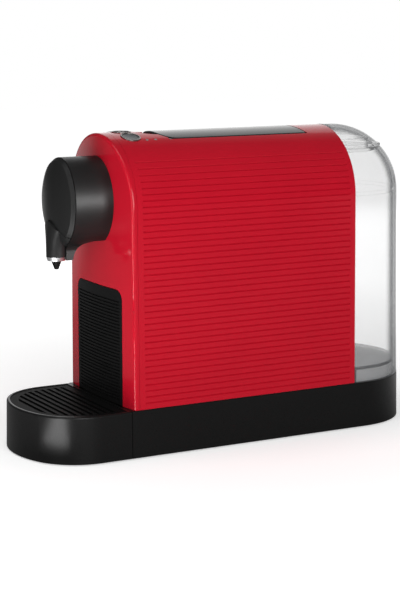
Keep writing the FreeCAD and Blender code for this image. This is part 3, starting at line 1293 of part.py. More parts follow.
def suction_hose():
    """Tank socket to flow meter, below the deck."""
    low = HOSE_DROP
    return pipe([V(0, VALVE_Y, BASE_TOP - DECK), V(0, VALVE_Y, low), V(METER_X, METER_Y, low),
                 V(METER_X, METER_Y, BASE_TOP)], HOSE_RADIUS, HOSE_BORE, HOSE_BEND)


def pump_hose():
    """Flow meter to the pump's front port."""
    outlet = V(METER_X - METER_RADIUS - PAST, METER_Y, BASE_TOP + METER_HEIGHT / 2)
    port = pump_axis(PUMP_FRONT - PUMP_PORT_LENGTH)
    turn_x = outlet.x - 2 * HOSE_TIGHT_BEND
    turn_y = port.y - 1.5 * HOSE_TIGHT_BEND
    return pipe([outlet, V(turn_x, outlet.y, outlet.z), V(turn_x, turn_y, outlet.z),
                 V(turn_x, turn_y, PUMP_Z), V(PUMP_X, turn_y, PUMP_Z), port],
                HOSE_RADIUS, HOSE_BORE, HOSE_TIGHT_BEND)


def pressure_hose():
    """Pump's rear port to the heater's inlet."""
    port = pump_axis(PUMP_FRONT + PUMP_COIL_LENGTH + 2 * PUMP_NECK_LENGTH + PUMP_PORT_LENGTH)
    inlet = heater_inlet()
    turn_y = max(port.y, inlet.y) + 1.5 * HOSE_TIGHT_BEND
    return pipe([port, V(port.x, turn_y, port.z), V(inlet.x, turn_y, inlet.z), inlet],
                HOSE_RADIUS, HOSE_BORE, HOSE_TIGHT_BEND)


def brew_hose():
    """Heater's outlet up to the feed tube of the brew chamber."""
    outlet = heater_outlet()
    feed = V(0, FRAME_REAR + PAST, BREW_Z)
    rear = feed.y + 2 * HOSE_BEND
    knee = BREW_Z - CHAMBER_RADIUS
    return pipe([outlet, V(outlet.x, outlet.y, outlet.z + 2 * HOSE_BEND),
                 V(outlet.x, rear, knee - 2 * HOSE_BEND), V(0, rear, knee), V(0, rear, BREW_Z), feed],
                FEED_RADIUS, FEED_BORE, FEED_BEND)


def control_board():
    """Main circuit board on the shroud's rear wall, with its tall components."""
    top = CONTROL_LOW + CONTROL_HEIGHT
    board_y = CHASSIS_REAR + CONTROL_STANDOFF
    board = slab(CONTROL_HALF, board_y, board_y + BOARD_SHEET, CONTROL_LOW, top)
    posts = []
    for x in (-CONTROL_HALF + BOSS_RADIUS, CONTROL_HALF - BOSS_RADIUS):
        for z in (CONTROL_LOW + BOSS_RADIUS, top - BOSS_RADIUS):
            posts.append(rod(BOSS_RADIUS, V(x, CHASSIS_REAR, z), V(x, board_y, z)))
    return join(board, *posts)


BUTTON_ANGLES = {"button_left": -BUTTON_ANGLE, "button_centre": 0, "button_right": BUTTON_ANGLE}

PIECES = {
    "base_pan": base_pan, "base_plate": base_plate, "rubber_feet": rubber_feet, "cord_gland": cord_gland,
    "drip_tray": drip_tray, "drip_grid": drip_grid, "capsule_bin": capsule_bin, "bin_front": bin_front,
    "body_shell": body_shell, "front_panel": front_panel, "rear_panel": rear_panel,
    "head_barrel": head_barrel, "head_cap": head_cap, "spout_cover": spout_cover, "spout_ring": spout_ring,
    "spout_nozzle": spout_nozzle, "outlet_pipe": outlet_pipe,
    "lever": lever, "lever_pin": lever_pin, "brew_frame": brew_frame, "brew_plate": brew_plate,
    "brew_chamber": brew_chamber, "follower_pin": follower_pin, "feed_tube": feed_tube,
    "capsule_chute": capsule_chute, "button_rings": button_rings, "indicator_lights": indicator_lights,
    "button_board": button_board, "water_tank": water_tank, "tank_lid": tank_lid, "lid_pin": lid_pin,
    "tank_valve": tank_valve, "tank_dock": tank_dock, "dock_seal": dock_seal, "chassis": chassis,
    "pump": pump, "pump_mounts": pump_mounts, "thermoblock": thermoblock, "heater_bracket": heater_bracket,
    "flow_meter": flow_meter, "suction_hose": suction_hose, "pump_hose": pump_hose,
    "pressure_hose": pressure_hose, "brew_hose": brew_hose, "control_board": control_board,
}


def main():
    os.makedirs("parts", exist_ok=True)
    for name, make in PIECES.items():
        make().exportStep(f"parts/{name}.step")
    for name, angle in BUTTON_ANGLES.items():
        button(angle).exportStep(f"parts/{name}.step")


main()
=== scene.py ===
# %% [markdown]
# # A pod coffee machine, finished in Blender
#
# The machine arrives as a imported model: every moulded piece is already in place, in metres, and hangs on the
# body that it moves with. This lesson gives each piece the surface of the real thing, adds the small parts
# that are easier to shape by hand, and sets up a plain studio. Nothing that arrives is moved or reshaped.

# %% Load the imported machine
import bpy
import math
from mathutils import Matrix, Vector


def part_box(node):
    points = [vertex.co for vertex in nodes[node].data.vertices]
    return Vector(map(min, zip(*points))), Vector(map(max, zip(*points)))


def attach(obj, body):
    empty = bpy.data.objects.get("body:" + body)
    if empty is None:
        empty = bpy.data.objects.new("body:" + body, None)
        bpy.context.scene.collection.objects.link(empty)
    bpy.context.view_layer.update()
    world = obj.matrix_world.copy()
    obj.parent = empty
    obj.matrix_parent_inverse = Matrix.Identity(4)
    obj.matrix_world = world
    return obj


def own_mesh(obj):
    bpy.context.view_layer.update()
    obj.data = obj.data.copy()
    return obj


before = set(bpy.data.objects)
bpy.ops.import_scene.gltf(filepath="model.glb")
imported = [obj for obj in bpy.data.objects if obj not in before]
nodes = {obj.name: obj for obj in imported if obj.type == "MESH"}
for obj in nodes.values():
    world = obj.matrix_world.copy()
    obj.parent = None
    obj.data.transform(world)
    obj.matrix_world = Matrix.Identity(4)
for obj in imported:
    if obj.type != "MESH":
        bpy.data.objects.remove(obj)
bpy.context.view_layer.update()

print("pieces loaded:", len(nodes))

# %% [markdown]
# ## The camera
#
# A product photograph is taken with a long lens, which keeps the sides nearly parallel. The viewing angle, the
# distance and the focal length in pixels were worked out from the machine's own edges. So the camera is placed
# by its angle round the machine, its height angle and its distance, and slid sideways to frame the machine. The
# lens follows from the focal length and the picture's height.

# %% Place the camera
MM = 0.001
SENSOR_MM = 36.0
PICTURE_HEIGHT_PX = 600
FOCAL_PX = 1705.46
AZIMUTH = math.radians(61.07)
ELEVATION = math.radians(9.93)
TARGET = Vector((0, 0, 125)) * MM
DISTANCE = 1404.74 * MM
SLIDE_RIGHT = -8.43 * MM
SLIDE_UP = -16.06 * MM

outwards = Vector((math.sin(AZIMUTH), -math.cos(AZIMUTH), 0))
back = outwards * math.cos(ELEVATION) + Vector((0, 0, math.sin(ELEVATION)))
right = Vector((math.cos(AZIMUTH), math.sin(AZIMUTH), 0))
up = back.cross(right)
camera_data = bpy.data.cameras.new("product_camera")
camera_data.sensor_fit = "VERTICAL"
camera_data.sensor_height = SENSOR_MM
camera_data.lens = FOCAL_PX / PICTURE_HEIGHT_PX * SENSOR_MM
camera = bpy.data.objects.new("product_camera", camera_data)
bpy.context.scene.collection.objects.link(camera)
turn = Matrix((right, up, back)).transposed().to_4x4()
place = TARGET + back * DISTANCE + right * SLIDE_RIGHT + up * SLIDE_UP
camera.matrix_world = Matrix.Translation(place) @ turn
bpy.context.scene.camera = camera
print("lens in mm:", round(camera_data.lens, 2), "camera at", [round(value, 3) for value in place])

# %% [markdown]
# ## Tools for the finishes
#
# Colours are picked as the hex values that a paint chip or a picture gives. A shader works in linear light, so
# one function turns them. A pattern's scale is worked out from the size of one grain in millimetres. One small
# function adds a node, sets it and links it, and every finish below is written with it.

# %% Colour, grain and node tools
def linear(hex_colour):
    """Linear colour with alpha from an sRGB hex value."""
    channels = [int(hex_colour[start:start + 2], 16) / 255 for start in (1, 3, 5)]
    return [c / 12.92 if c <= 0.04045 else ((c + 0.055) / 1.055) ** 2.4 for c in channels] + [1.0]


def grains(size_mm):
    """Texture scale at which one grain has this size."""
    return 1 / (size_mm * MM)


def add(tree, kind, inputs=None, **settings):
    """Add one node, set its options, and set or link its inputs."""
    node = tree.nodes.new("ShaderNode" + kind)
    for name, value in settings.items():
        setattr(node, name, value)
    for name, value in (inputs or {}).items():
        if isinstance(value, bpy.types.NodeSocket):
            tree.links.new(value, node.inputs[name])
        else:
            node.inputs[name].default_value = value
    return node


def new_finish(name):
    """Empty node material, with its output and a coordinate in metres."""
    material = bpy.data.materials.new(name)
    material.use_nodes = True
    tree = material.node_tree
    tree.nodes.clear()
    place_of = add(tree, "TexCoord").outputs["Object"]
    return material, tree, place_of


def close_finish(tree, shader):
    """Link a shader to the material's output."""
    add(tree, "OutputMaterial", {"Surface": shader})


def dress(material, *names):
    """Give CAD pieces a finish in their own material slots."""
    for name in names:
        slots = nodes[name].data.materials
        slots.clear()
        slots.append(material)
    print(material.name, "on", ", ".join(names))


# %% [markdown]
# ## Moulded plastics
#
# Most of the machine is ABS, moulded in steel tools. A polished tool leaves gloss with a faint waviness, and an
# eroded tool leaves a fine even grain. Both are one recipe with other numbers: a slow drift in the colour, a
# grain that lifts the surface by up to 0.02 mm, and a roughness that follows the same grain.
# Real grain is about 0.1 mm, too fine to show at this distance, so it is drawn about 0.6 mm.

# %% The moulded plastic recipe
DRIFT_MM = 60
NOISE_SPAN = {"From Min": 0.3, "From Max": 0.7}   # most of a noise texture's values lie between these
PLASTIC_SWING = 0.12                              # how far the roughness swings with the grain


def moulded(name, light, dark, rough, grain_mm, lift_mm, ior=1.53, shine=0.5):
    """Plastic from a tool of one grain: colour drift, grain and a roughness that follows it."""
    material, tree, place_of = new_finish(name)
    drift = add(tree, "TexNoise", {"Vector": place_of, "Scale": grains(DRIFT_MM), "Detail": 2.0})
    grain = add(tree, "TexNoise", {"Vector": place_of, "Scale": grains(grain_mm), "Detail": 3.0})
    colour = add(tree, "Mix", {"Factor": drift.outputs["Fac"], "A": linear(light), "B": linear(dark)},
                 data_type="RGBA")
    rub = add(tree, "MapRange", {"Value": grain.outputs["Fac"], **NOISE_SPAN,
                                 "To Min": rough * (1 - PLASTIC_SWING), "To Max": rough * (1 + PLASTIC_SWING)})
    bump = add(tree, "Bump", {"Height": grain.outputs["Fac"], "Strength": 1.0, "Distance": lift_mm * MM})
    shader = add(tree, "BsdfPrincipled", {
        "Base Color": colour.outputs["Result"], "Roughness": rub.outputs["Result"],
        "Normal": bump.outputs["Normal"], "IOR": ior, "Specular IOR Level": shine})
    close_finish(tree, shader.outputs["BSDF"])
    return material


# %% [markdown]
# ### Red casing
#
# The casing is dyed ABS from a polished tool: deep red with a clear, slightly wavy gloss.

# %% Red casing
red_gloss = moulded("red_polished_abs", "#B61225", "#AE1023", rough=0.12, grain_mm=6.0, lift_mm=0.001,
                    shine=0.25)
dress(red_gloss, "body_shell", "front_panel")

# %% [markdown]
# ### Black pieces
#
# The base and the tray come from lightly eroded tools and are satin. The barrel and the cap of the head have a
# shallower grain and a softer gloss. The grid, the bin front and the pieces that nobody looks at are matt.

# %% Black pieces
black_base = moulded("black_satin_base_abs", "#131313", "#101010", rough=0.3, grain_mm=0.6, lift_mm=0.008,
                     shine=0.2)
dress(black_base, "base_pan", "drip_tray")
black_head = moulded("black_smooth_head_abs", "#171717", "#131313", rough=0.4, grain_mm=0.6, lift_mm=0.005,
                     shine=0.3)
dress(black_head, "head_barrel")
black_cap = moulded("black_satin_cap_abs", "#1E1E1E", "#1A1A1A", rough=0.42, grain_mm=0.6, lift_mm=0.005,
                    shine=0.15)
dress(black_cap, "head_cap", "spout_cover")
black_matt = moulded("black_eroded_abs", "#101010", "#0D0D0D", rough=0.5, grain_mm=0.6, lift_mm=0.015,
                     shine=0.12)
dress(black_matt, "bin_front", "capsule_bin", "spout_nozzle", "base_plate", "cord_gland")
black_grid = moulded("black_eroded_grid_abs", "#121212", "#0E0E0E", rough=0.6, grain_mm=0.6, lift_mm=0.01,
                     shine=0.05)
dress(black_grid, "drip_grid")

# %% [markdown]
# ### Dock, lever and buttons
#
# The dock and the rear wall are light grey, which shows through the tank. The lever is black from a polished
# tool, so it mirrors the paper behind the machine and looks grey. The buttons are a dull middle grey.

# %% Dock, lever and buttons
dock_grey = moulded("grey_dock_abs", "#A6A7A8", "#9C9D9E", rough=0.4, grain_mm=0.8, lift_mm=0.01)
dress(dock_grey, "tank_dock", "rear_panel")
lever_black = moulded("black_polished_lever_abs", "#1A1A1B", "#161617", rough=0.16, grain_mm=8.0,
                      lift_mm=0.001)
dress(lever_black, "lever")
button_grey = moulded("grey_satin_button_abs", "#5C5E60", "#545658", rough=0.4, grain_mm=0.6, lift_mm=0.01)
dress(button_grey, "button_left", "button_centre", "button_right")
lens = moulded("smoked_light_lens", "#8A7E7C", "#7A6F6D", rough=0.2, grain_mm=1.0, lift_mm=0.003)
dress(lens, "indicator_lights")

# %% [markdown]
# ### Works inside
#
# Most of these show only with the tray, the tank or the lever open: glass-filled nylon for the works, rubber
# for the feet and seals, milky silicone for the hoses, and the green coat of the boards.

# %% Works inside
works_grey = moulded("grey_filled_nylon", "#5A5A5C", "#505052", rough=0.5, grain_mm=0.8, lift_mm=0.02)
dress(works_grey, "chassis", "brew_frame", "brew_plate", "brew_chamber", "capsule_chute", "flow_meter",
      "tank_valve")
pump_black = moulded("black_pump_nylon", "#2A2A2C", "#232325", rough=0.5, grain_mm=0.8, lift_mm=0.02)
dress(pump_black, "pump")
rubber = moulded("black_silicone_rubber", "#242424", "#1E1E1E", rough=0.7, grain_mm=0.8, lift_mm=0.02,
                 ior=1.41)
dress(rubber, "rubber_feet", "dock_seal", "pump_mounts")
hose_white = moulded("milky_silicone_hose", "#D9D8D2", "#CFCEC8", rough=0.45, grain_mm=1.0, lift_mm=0.01,
                     ior=1.41)
dress(hose_white, "outlet_pipe", "suction_hose", "pump_hose", "pressure_hose", "brew_hose")
board_green = moulded("green_coated_board", "#1F5A36", "#1A4E2F", rough=0.35, grain_mm=1.2, lift_mm=0.01)
dress(board_green, "control_board", "button_board")

# %% [markdown]
# ## Metals
#
# The spout ring and the button rings are chromed plastic with the satin haze of a brushed plating. The pins and
# the feed tube are turned steel, and the heater block is cast aluminium.

# %% The metal recipe
METAL_SWING = 0.2


def metal(name, light, dark, rough, grain_mm, lift_mm):
    """Bare metal: tint, haze that varies with a fine grain, and a slight lift."""
    material, tree, place_of = new_finish(name)
    grain = add(tree, "TexNoise", {"Vector": place_of, "Scale": grains(grain_mm), "Detail": 3.0})
    colour = add(tree, "Mix", {"Factor": grain.outputs["Fac"], "A": linear(light), "B": linear(dark)},
                 data_type="RGBA")
    haze = add(tree, "MapRange", {"Value": grain.outputs["Fac"], **NOISE_SPAN,
                                  "To Min": rough * (1 - METAL_SWING), "To Max": rough * (1 + METAL_SWING)})
    bump = add(tree, "Bump", {"Height": grain.outputs["Fac"], "Strength": 1.0, "Distance": lift_mm * MM})
    shader = add(tree, "BsdfPrincipled", {
        "Base Color": colour.outputs["Result"], "Roughness": haze.outputs["Result"],
        "Normal": bump.outputs["Normal"], "Metallic": 1.0})
    close_finish(tree, shader.outputs["BSDF"])
    return material


# %% Metals
chrome = metal("chromed_plastic", "#F0F0F1", "#E8E8EA", rough=0.38, grain_mm=2.0, lift_mm=0.001)
dress(chrome, "spout_ring")
satin_chrome = metal("satin_chromed_plastic", "#8E8886", "#827C7A", rough=0.3, grain_mm=2.0, lift_mm=0.001)
dress(satin_chrome, "button_rings")
steel = metal("turned_steel", "#B9BABD", "#A9AAAD", rough=0.3, grain_mm=0.5, lift_mm=0.004)
dress(steel, "lever_pin", "lid_pin", "follower_pin", "feed_tube", "heater_bracket")
cast = metal("cast_aluminium", "#B4B5B7", "#9C9D9F", rough=0.5, grain_mm=0.9, lift_mm=0.03)
dress(cast, "thermoblock")

# %% [markdown]
# ## The clear tank
#
# Tank and lid are clear copolyester, moulded with a polished surface. A wall of two millimetres hardly bends
# what is seen through it, but where the eye looks along it, much more plastic lies in the way and the edge
# turns grey. So the wall lets the background through as it is, and the share of plastic grows towards the edge.

# %% Clear plastic
RIPPLE_MM = 40
RIPPLE = {"Strength": 0.3, "Distance": 0.02 * MM}
POLISH = {"To Min": 0.03, "To Max": 0.07}          # roughness of the polished wall
TURN_GREY = {"From Min": 0.5, "From Max": 0.9}     # how far the wall faces away while it turns grey
PLASTIC_SHARE = {"To Min": 0.09, "To Max": 0.95}   # share of plastic, face on and at the edge
COPOLYESTER = {"IOR": 1.57, "Specular IOR Level": 0.12}
clear, tree, place_of = new_finish("clear_copolyester")
ripple = add(tree, "TexNoise", {"Vector": place_of, "Scale": grains(RIPPLE_MM), "Detail": 1.0})
haze = add(tree, "MapRange", {"Value": ripple.outputs["Fac"], **POLISH})
wave = add(tree, "Bump", {"Height": ripple.outputs["Fac"], **RIPPLE})
facing = add(tree, "LayerWeight", {"Blend": 0.5}).outputs["Facing"]
edge = add(tree, "MapRange", {"Value": facing, **TURN_GREY}, interpolation_type="SMOOTHSTEP")
tint = add(tree, "Mix", {"Factor": edge.outputs["Result"], "A": linear("#A0A2A4"), "B": linear("#54565A")},
           data_type="RGBA")
solid = add(tree, "MapRange", {"Value": edge.outputs["Result"], **PLASTIC_SHARE})
shader = add(tree, "BsdfPrincipled", {
    "Base Color": tint.outputs["Result"], "Roughness": haze.outputs["Result"],
    "Normal": wave.outputs["Normal"], "Alpha": solid.outputs["Result"], **COPOLYESTER})
close_finish(tree, shader.outputs["BSDF"])
dress(clear, "water_tank", "tank_lid")

# %% [markdown]
# ## Tools for the small parts
#
# The parts below are shaped in edit mode, as by hand. One function selects faces by their place and normal, so
# that the next operator acts on them alone. Another leaves edit mode: the part's place goes into its mesh, its
# normals point outwards, and sharp edges stay sharp. A third gives it its finish and the body it moves with.

# %% Selecting, finishing and copying a part
ROUND_SIDES = 32


def pick(part, rule):
    """Enter edit mode with the faces selected for which rule(centre, normal) holds."""
    bpy.ops.object.mode_set(mode="EDIT")
    bpy.ops.mesh.select_mode(type="FACE")
    bpy.ops.mesh.select_all(action="DESELECT")
    bpy.ops.object.mode_set(mode="OBJECT")
    for polygon in part.data.polygons:
        polygon.select = bool(rule(polygon.center, polygon.normal))
    bpy.ops.object.mode_set(mode="EDIT")


def on_top(centre, normal):
    """Rule for flat faces that look straight up."""
    return normal.z > 0.99


def above_foot(centre, normal):
    """Rule for all faces but those that the part stands on."""
    return normal.z > -0.5


def cut_level(height):
    """Cut a new ring of edges round the part that is being edited, at one height."""
    bpy.ops.mesh.select_all(action="SELECT")
    bpy.ops.mesh.bisect(plane_co=(0, 0, height), plane_no=(0, 0, 1))


def apply_modifier(part, kind, **settings):
    """Add a modifier, set it and apply it."""
    modifier = part.modifiers.new(kind.lower(), kind)
    for name, value in settings.items():
        setattr(modifier, name, value)
    bpy.ops.object.modifier_apply(modifier=modifier.name)


def finish_mesh(sharp_deg=35):
    """Leave edit mode with outward normals, a baked place and smooth faces between sharp edges."""
    bpy.ops.object.mode_set(mode="EDIT")
    bpy.ops.mesh.select_all(action="SELECT")
    bpy.ops.mesh.normals_make_consistent(inside=False)
    bpy.ops.object.mode_set(mode="OBJECT")
    bpy.ops.object.transform_apply(location=True, rotation=True, scale=True)
    bpy.ops.object.shade_smooth_by_angle(angle=math.radians(sharp_deg))


def hang(part, name, body, material):
    """Give a part its name, finish, slot and body."""
    part.name = part.data.name = name
    part.data.materials.clear()
    part.data.materials.append(material)
    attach(part, body)
    print(part.name, "faces:", len(part.data.polygons), "on", body)


def copy_part(part, move=Matrix()):
    """Copy a part with a mesh of its own, moved by a matrix."""
    twin = part.copy()
    twin.data = part.data.copy()
    twin.data.transform(move)
    bpy.context.scene.collection.objects.link(twin)
    return twin


# %% [markdown]
# ## Screws
#
# The rear wall and the floor plate are held by flat cross-head screws, pressed from steel wire. The head is a
# cylinder whose top edge is rounded over, and two crossed bars cut the recess, as the punch does.

# %% One cross-head screw
SCREW_RADIUS = 3.0 * MM
SCREW_RISE = 0.55 * MM
RECESS = (3.4 * MM, 0.8 * MM, 0.7 * MM)   # one bar of the punch, which sinks in by half its height
bpy.ops.object.select_all(action="DESELECT")
bpy.ops.mesh.primitive_cylinder_add(vertices=ROUND_SIDES, radius=SCREW_RADIUS, depth=SCREW_RISE,
                                    location=(0, 0, SCREW_RISE / 2))
screw = bpy.context.object
pick(screw, on_top)
bpy.ops.mesh.bevel(offset=SCREW_RISE / 2, segments=3, affect="EDGES")
bpy.ops.object.mode_set(mode="OBJECT")
bpy.ops.object.select_all(action="DESELECT")
bpy.ops.mesh.primitive_cube_add(size=1, location=(0, 0, SCREW_RISE), scale=RECESS)
punch = bpy.context.object
bpy.ops.object.mode_set(mode="EDIT")
bpy.ops.mesh.duplicate()
bpy.ops.transform.rotate(value=math.pi / 2, orient_axis="Z", center_override=(0, 0, SCREW_RISE))
bpy.ops.object.mode_set(mode="OBJECT")
bpy.ops.object.select_all(action="DESELECT")
screw.select_set(True)
bpy.context.view_layer.objects.active = screw
apply_modifier(screw, "BOOLEAN", object=punch, operation="DIFFERENCE", use_self=True)
bpy.data.objects.remove(punch)
finish_mesh()
print("screw faces:", len(screw.data.polygons))

# %% Screws on the rear wall and under the floor plate
rear_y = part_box("rear_panel")[1][1]
floor_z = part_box("base_plate")[0][2]
REAR_SCREWS = [(-42, 60), (42, 60), (-42, 190), (42, 190)]                           # x, z in mm
FLOOR_SCREWS = [(-46, -45), (46, -45), (-46, 30), (46, 30), (-46, 105), (46, 105)]   # x, y in mm
FACE_REAR = Matrix.Rotation(-math.pi / 2, 4, "X")
FACE_DOWN = Matrix.Rotation(math.pi, 4, "X")
for count, (x, z) in enumerate(REAR_SCREWS, 1):
    twin = copy_part(screw, Matrix.Translation((x * MM, rear_y, z * MM)) @ FACE_REAR)
    hang(twin, f"rear_screw_{count}", "housing", steel)
for count, (x, y) in enumerate(FLOOR_SCREWS, 1):
    twin = copy_part(screw, Matrix.Translation((x * MM, y * MM, floor_z)) @ FACE_DOWN)
    hang(twin, f"floor_screw_{count}", "housing", steel)
bpy.data.objects.remove(screw)

# %% [markdown]
# ## The valve's cage and spring
#
# The tank's valve is held down by a wire spring inside a moulded cage, and both can be seen through the clear
# wall. The cage is a tube with windows: rings are cut round it, the faces between the ribs are deleted, the top
# rim is drawn in to a roof, and Solidify gives it its wall. The spring is a small circle that the Screw
# modifier winds up.

# %% Valve cage
valve_low, valve_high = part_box("tank_valve")
VALVE_AXIS = Vector(((valve_low[0] + valve_high[0]) / 2, (valve_low[1] + valve_high[1]) / 2, 0))
VALVE_DISC = 3.0 * MM
VALVE_CLEARANCE = 0.1 * MM   # between the disc and the boss that the cage stands on
SEAT_Z = valve_high[2] - VALVE_DISC - VALVE_CLEARANCE
CAGE_RADIUS = 8.6 * MM
CAGE_HEIGHT = 13.0 * MM
CAGE_RING = 1.6 * MM
CAGE_WALL = 1.1 * MM
CAGE_RIBS = 4
CAGE_ROUND = 0.2 * MM
WINDOW = 0.6      # a window opens where the cosine of ribs times angle is below this
ROOF_HOLE = 0.4   # share of the radius that stays open in the roof
cage_top = SEAT_Z + CAGE_HEIGHT
bpy.ops.object.select_all(action="DESELECT")
bpy.ops.mesh.primitive_cylinder_add(
    vertices=ROUND_SIDES, radius=CAGE_RADIUS, depth=CAGE_HEIGHT, end_fill_type="NOTHING",
    location=VALVE_AXIS + Vector((0, 0, SEAT_Z + CAGE_HEIGHT / 2)))
cage = bpy.context.object
bpy.ops.object.transform_apply(location=True)
bpy.ops.object.mode_set(mode="EDIT")
cut_level(SEAT_Z + CAGE_RING)
cut_level(cage_top - CAGE_RING)


def in_window(centre, normal):
    """Rule for the faces between the ribs and between the rings."""
    turn = math.atan2(normal.y, normal.x) * CAGE_RIBS
    return SEAT_Z + CAGE_RING < centre.z < cage_top - CAGE_RING and math.cos(turn) < WINDOW


pick(cage, in_window)
bpy.ops.mesh.delete(type="FACE")
bpy.ops.mesh.select_mode(type="EDGE")
bpy.ops.object.mode_set(mode="OBJECT")
for rim in cage.data.edges:
    rim.select = all(cage.data.vertices[end].co.z > cage_top - CAGE_RING / 4 for end in rim.vertices)
bpy.ops.object.mode_set(mode="EDIT")
bpy.ops.mesh.extrude_region_move()
bpy.ops.transform.resize(value=(ROOF_HOLE, ROOF_HOLE, 1),
                         center_override=VALVE_AXIS + Vector((0, 0, cage_top)))
bpy.ops.object.mode_set(mode="OBJECT")
apply_modifier(cage, "SOLIDIFY", thickness=CAGE_WALL, offset=-1)
apply_modifier(cage, "BEVEL", width=CAGE_ROUND, segments=2, limit_method="ANGLE")
finish_mesh()
hang(cage, "valve_cage", "tank", works_grey)

# %% Valve spring
WIRE_RADIUS = 0.45 * MM
WIRE_SIDES = 10
WELD = 0.01 * MM
SPRING_RADIUS = 4.6 * MM
SPRING_TURNS = 4
SPRING_STEPS = 28   # per turn
spring_low = valve_high[2] + WIRE_RADIUS
spring_high = cage_top - CAGE_WALL - WIRE_RADIUS
bpy.ops.object.select_all(action="DESELECT")
bpy.ops.mesh.primitive_circle_add(vertices=WIRE_SIDES, radius=WIRE_RADIUS,
                                  location=VALVE_AXIS + Vector((0, 0, spring_low)))
spring = bpy.context.object
bpy.ops.object.mode_set(mode="EDIT")
bpy.ops.mesh.select_all(action="SELECT")
bpy.ops.transform.rotate(value=math.pi / 2, orient_axis="X", center_override=spring.location)
bpy.ops.transform.translate(value=(SPRING_RADIUS, 0, 0))
bpy.ops.object.mode_set(mode="OBJECT")
apply_modifier(spring, "SCREW", angle=math.tau, steps=SPRING_STEPS, render_steps=SPRING_STEPS,
               iterations=SPRING_TURNS, screw_offset=(spring_high - spring_low) / SPRING_TURNS)
bpy.ops.object.mode_set(mode="EDIT")
bpy.ops.mesh.select_all(action="SELECT")
bpy.ops.mesh.remove_doubles(threshold=WELD)
bpy.ops.mesh.fill_holes(sides=0)
finish_mesh(sharp_deg=60)
hang(spring, "valve_spring", "tank", steel)
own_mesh(spring)

# %% [markdown]
# ## Parts on the control board
#
# The board carries what a small heater and pump need: two capacitors, a relay, a chip and two plugs. Each
# starts as a cylinder or a cube on a drawing plane and is then turned onto the board's face. The capacitor's
# crimp is a ring of faces drawn in, the relay has a sunk lid, the plug is hollowed by an inset pushed down, and
# the chip's legs are one leg copied in two rows.

# %% The board's face and the finishes of its parts
board_low, board_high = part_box("control_board")
board_middle = Vector((0, board_high[1], (board_low[2] + board_high[2]) / 2))
BOARD_FACE = Matrix.Translation(board_middle) @ FACE_REAR
sleeve_blue = moulded("blue_pvc_sleeve", "#1D2B4A", "#18243F", rough=0.35, grain_mm=0.8, lift_mm=0.005)
relay_black = moulded("black_relay_pbt", "#262627", "#202021", rough=0.45, grain_mm=0.8, lift_mm=0.01)
plug_white = moulded("natural_nylon_plug", "#D9D5C8", "#CEC9BB", rough=0.45, grain_mm=0.8, lift_mm=0.01)


def on_board(part, name, at_mm, material):
    """Turn a part from the drawing plane onto the board, across and up from the board's middle."""
    across, rise = at_mm
    part.data.transform(BOARD_FACE @ Matrix.Translation((across * MM, -rise * MM, 0)))
    hang(part, name, "housing", material)


# %% Capacitors
CAN_RADIUS = 5.0 * MM
CAN_HEIGHT = 9.0 * MM
CAN_ROUND = 0.6 * MM
CAN_RIM = 0.5 * MM
CAN_DISH = 0.3 * MM
CRIMP = (1.4 * MM, 2.2 * MM)   # lower and upper height
CRIMP_SLOPE = 0.4 * MM
CRIMP_SHARE = 0.92             # share of the radius that is left
bpy.ops.object.select_all(action="DESELECT")
bpy.ops.mesh.primitive_cylinder_add(vertices=ROUND_SIDES, radius=CAN_RADIUS, depth=CAN_HEIGHT,
                                    location=(0, 0, CAN_HEIGHT / 2))
can = bpy.context.object
bpy.ops.object.transform_apply(location=True)
bpy.ops.object.mode_set(mode="EDIT")
for height in (CRIMP[0] - CRIMP_SLOPE, *CRIMP, CRIMP[1] + CRIMP_SLOPE):
    cut_level(height)
pick(can, lambda centre, normal: CRIMP[0] < centre.z < CRIMP[1])
bpy.ops.transform.resize(value=(CRIMP_SHARE, CRIMP_SHARE, 1), center_override=(0, 0, 0))
pick(can, on_top)
bpy.ops.mesh.bevel(offset=CAN_ROUND, segments=3, affect="EDGES")
pick(can, on_top)
bpy.ops.mesh.inset(thickness=CAN_RIM, depth=-CAN_DISH)
finish_mesh()
on_board(copy_part(can), "board_capacitor_2", (-12, 20), sleeve_blue)
on_board(can, "board_capacitor_1", (-25, 20), sleeve_blue)


# %% Relay
def block(size_mm):
    """Cube stretched to a size, standing on the drawing plane."""
    bpy.ops.object.select_all(action="DESELECT")
    bpy.ops.mesh.primitive_cube_add(size=1, location=(0, 0, size_mm[2] * MM / 2),
                                    scale=[side * MM for side in size_mm])
    bpy.ops.object.transform_apply(location=True, rotation=True, scale=True)
    return bpy.context.object


RELAY_MM = (19, 15.4, 8.6)
RELAY_ROUND = 0.7 * MM
RELAY_RIM = 1.2 * MM
RELAY_SINK = 0.4 * MM
relay = block(RELAY_MM)
pick(relay, above_foot)
bpy.ops.mesh.bevel(offset=RELAY_ROUND, segments=2, affect="EDGES")
pick(relay, on_top)
bpy.ops.mesh.inset(thickness=RELAY_RIM, depth=-RELAY_SINK)
finish_mesh()
on_board(relay, "board_relay", (16, 14), relay_black)

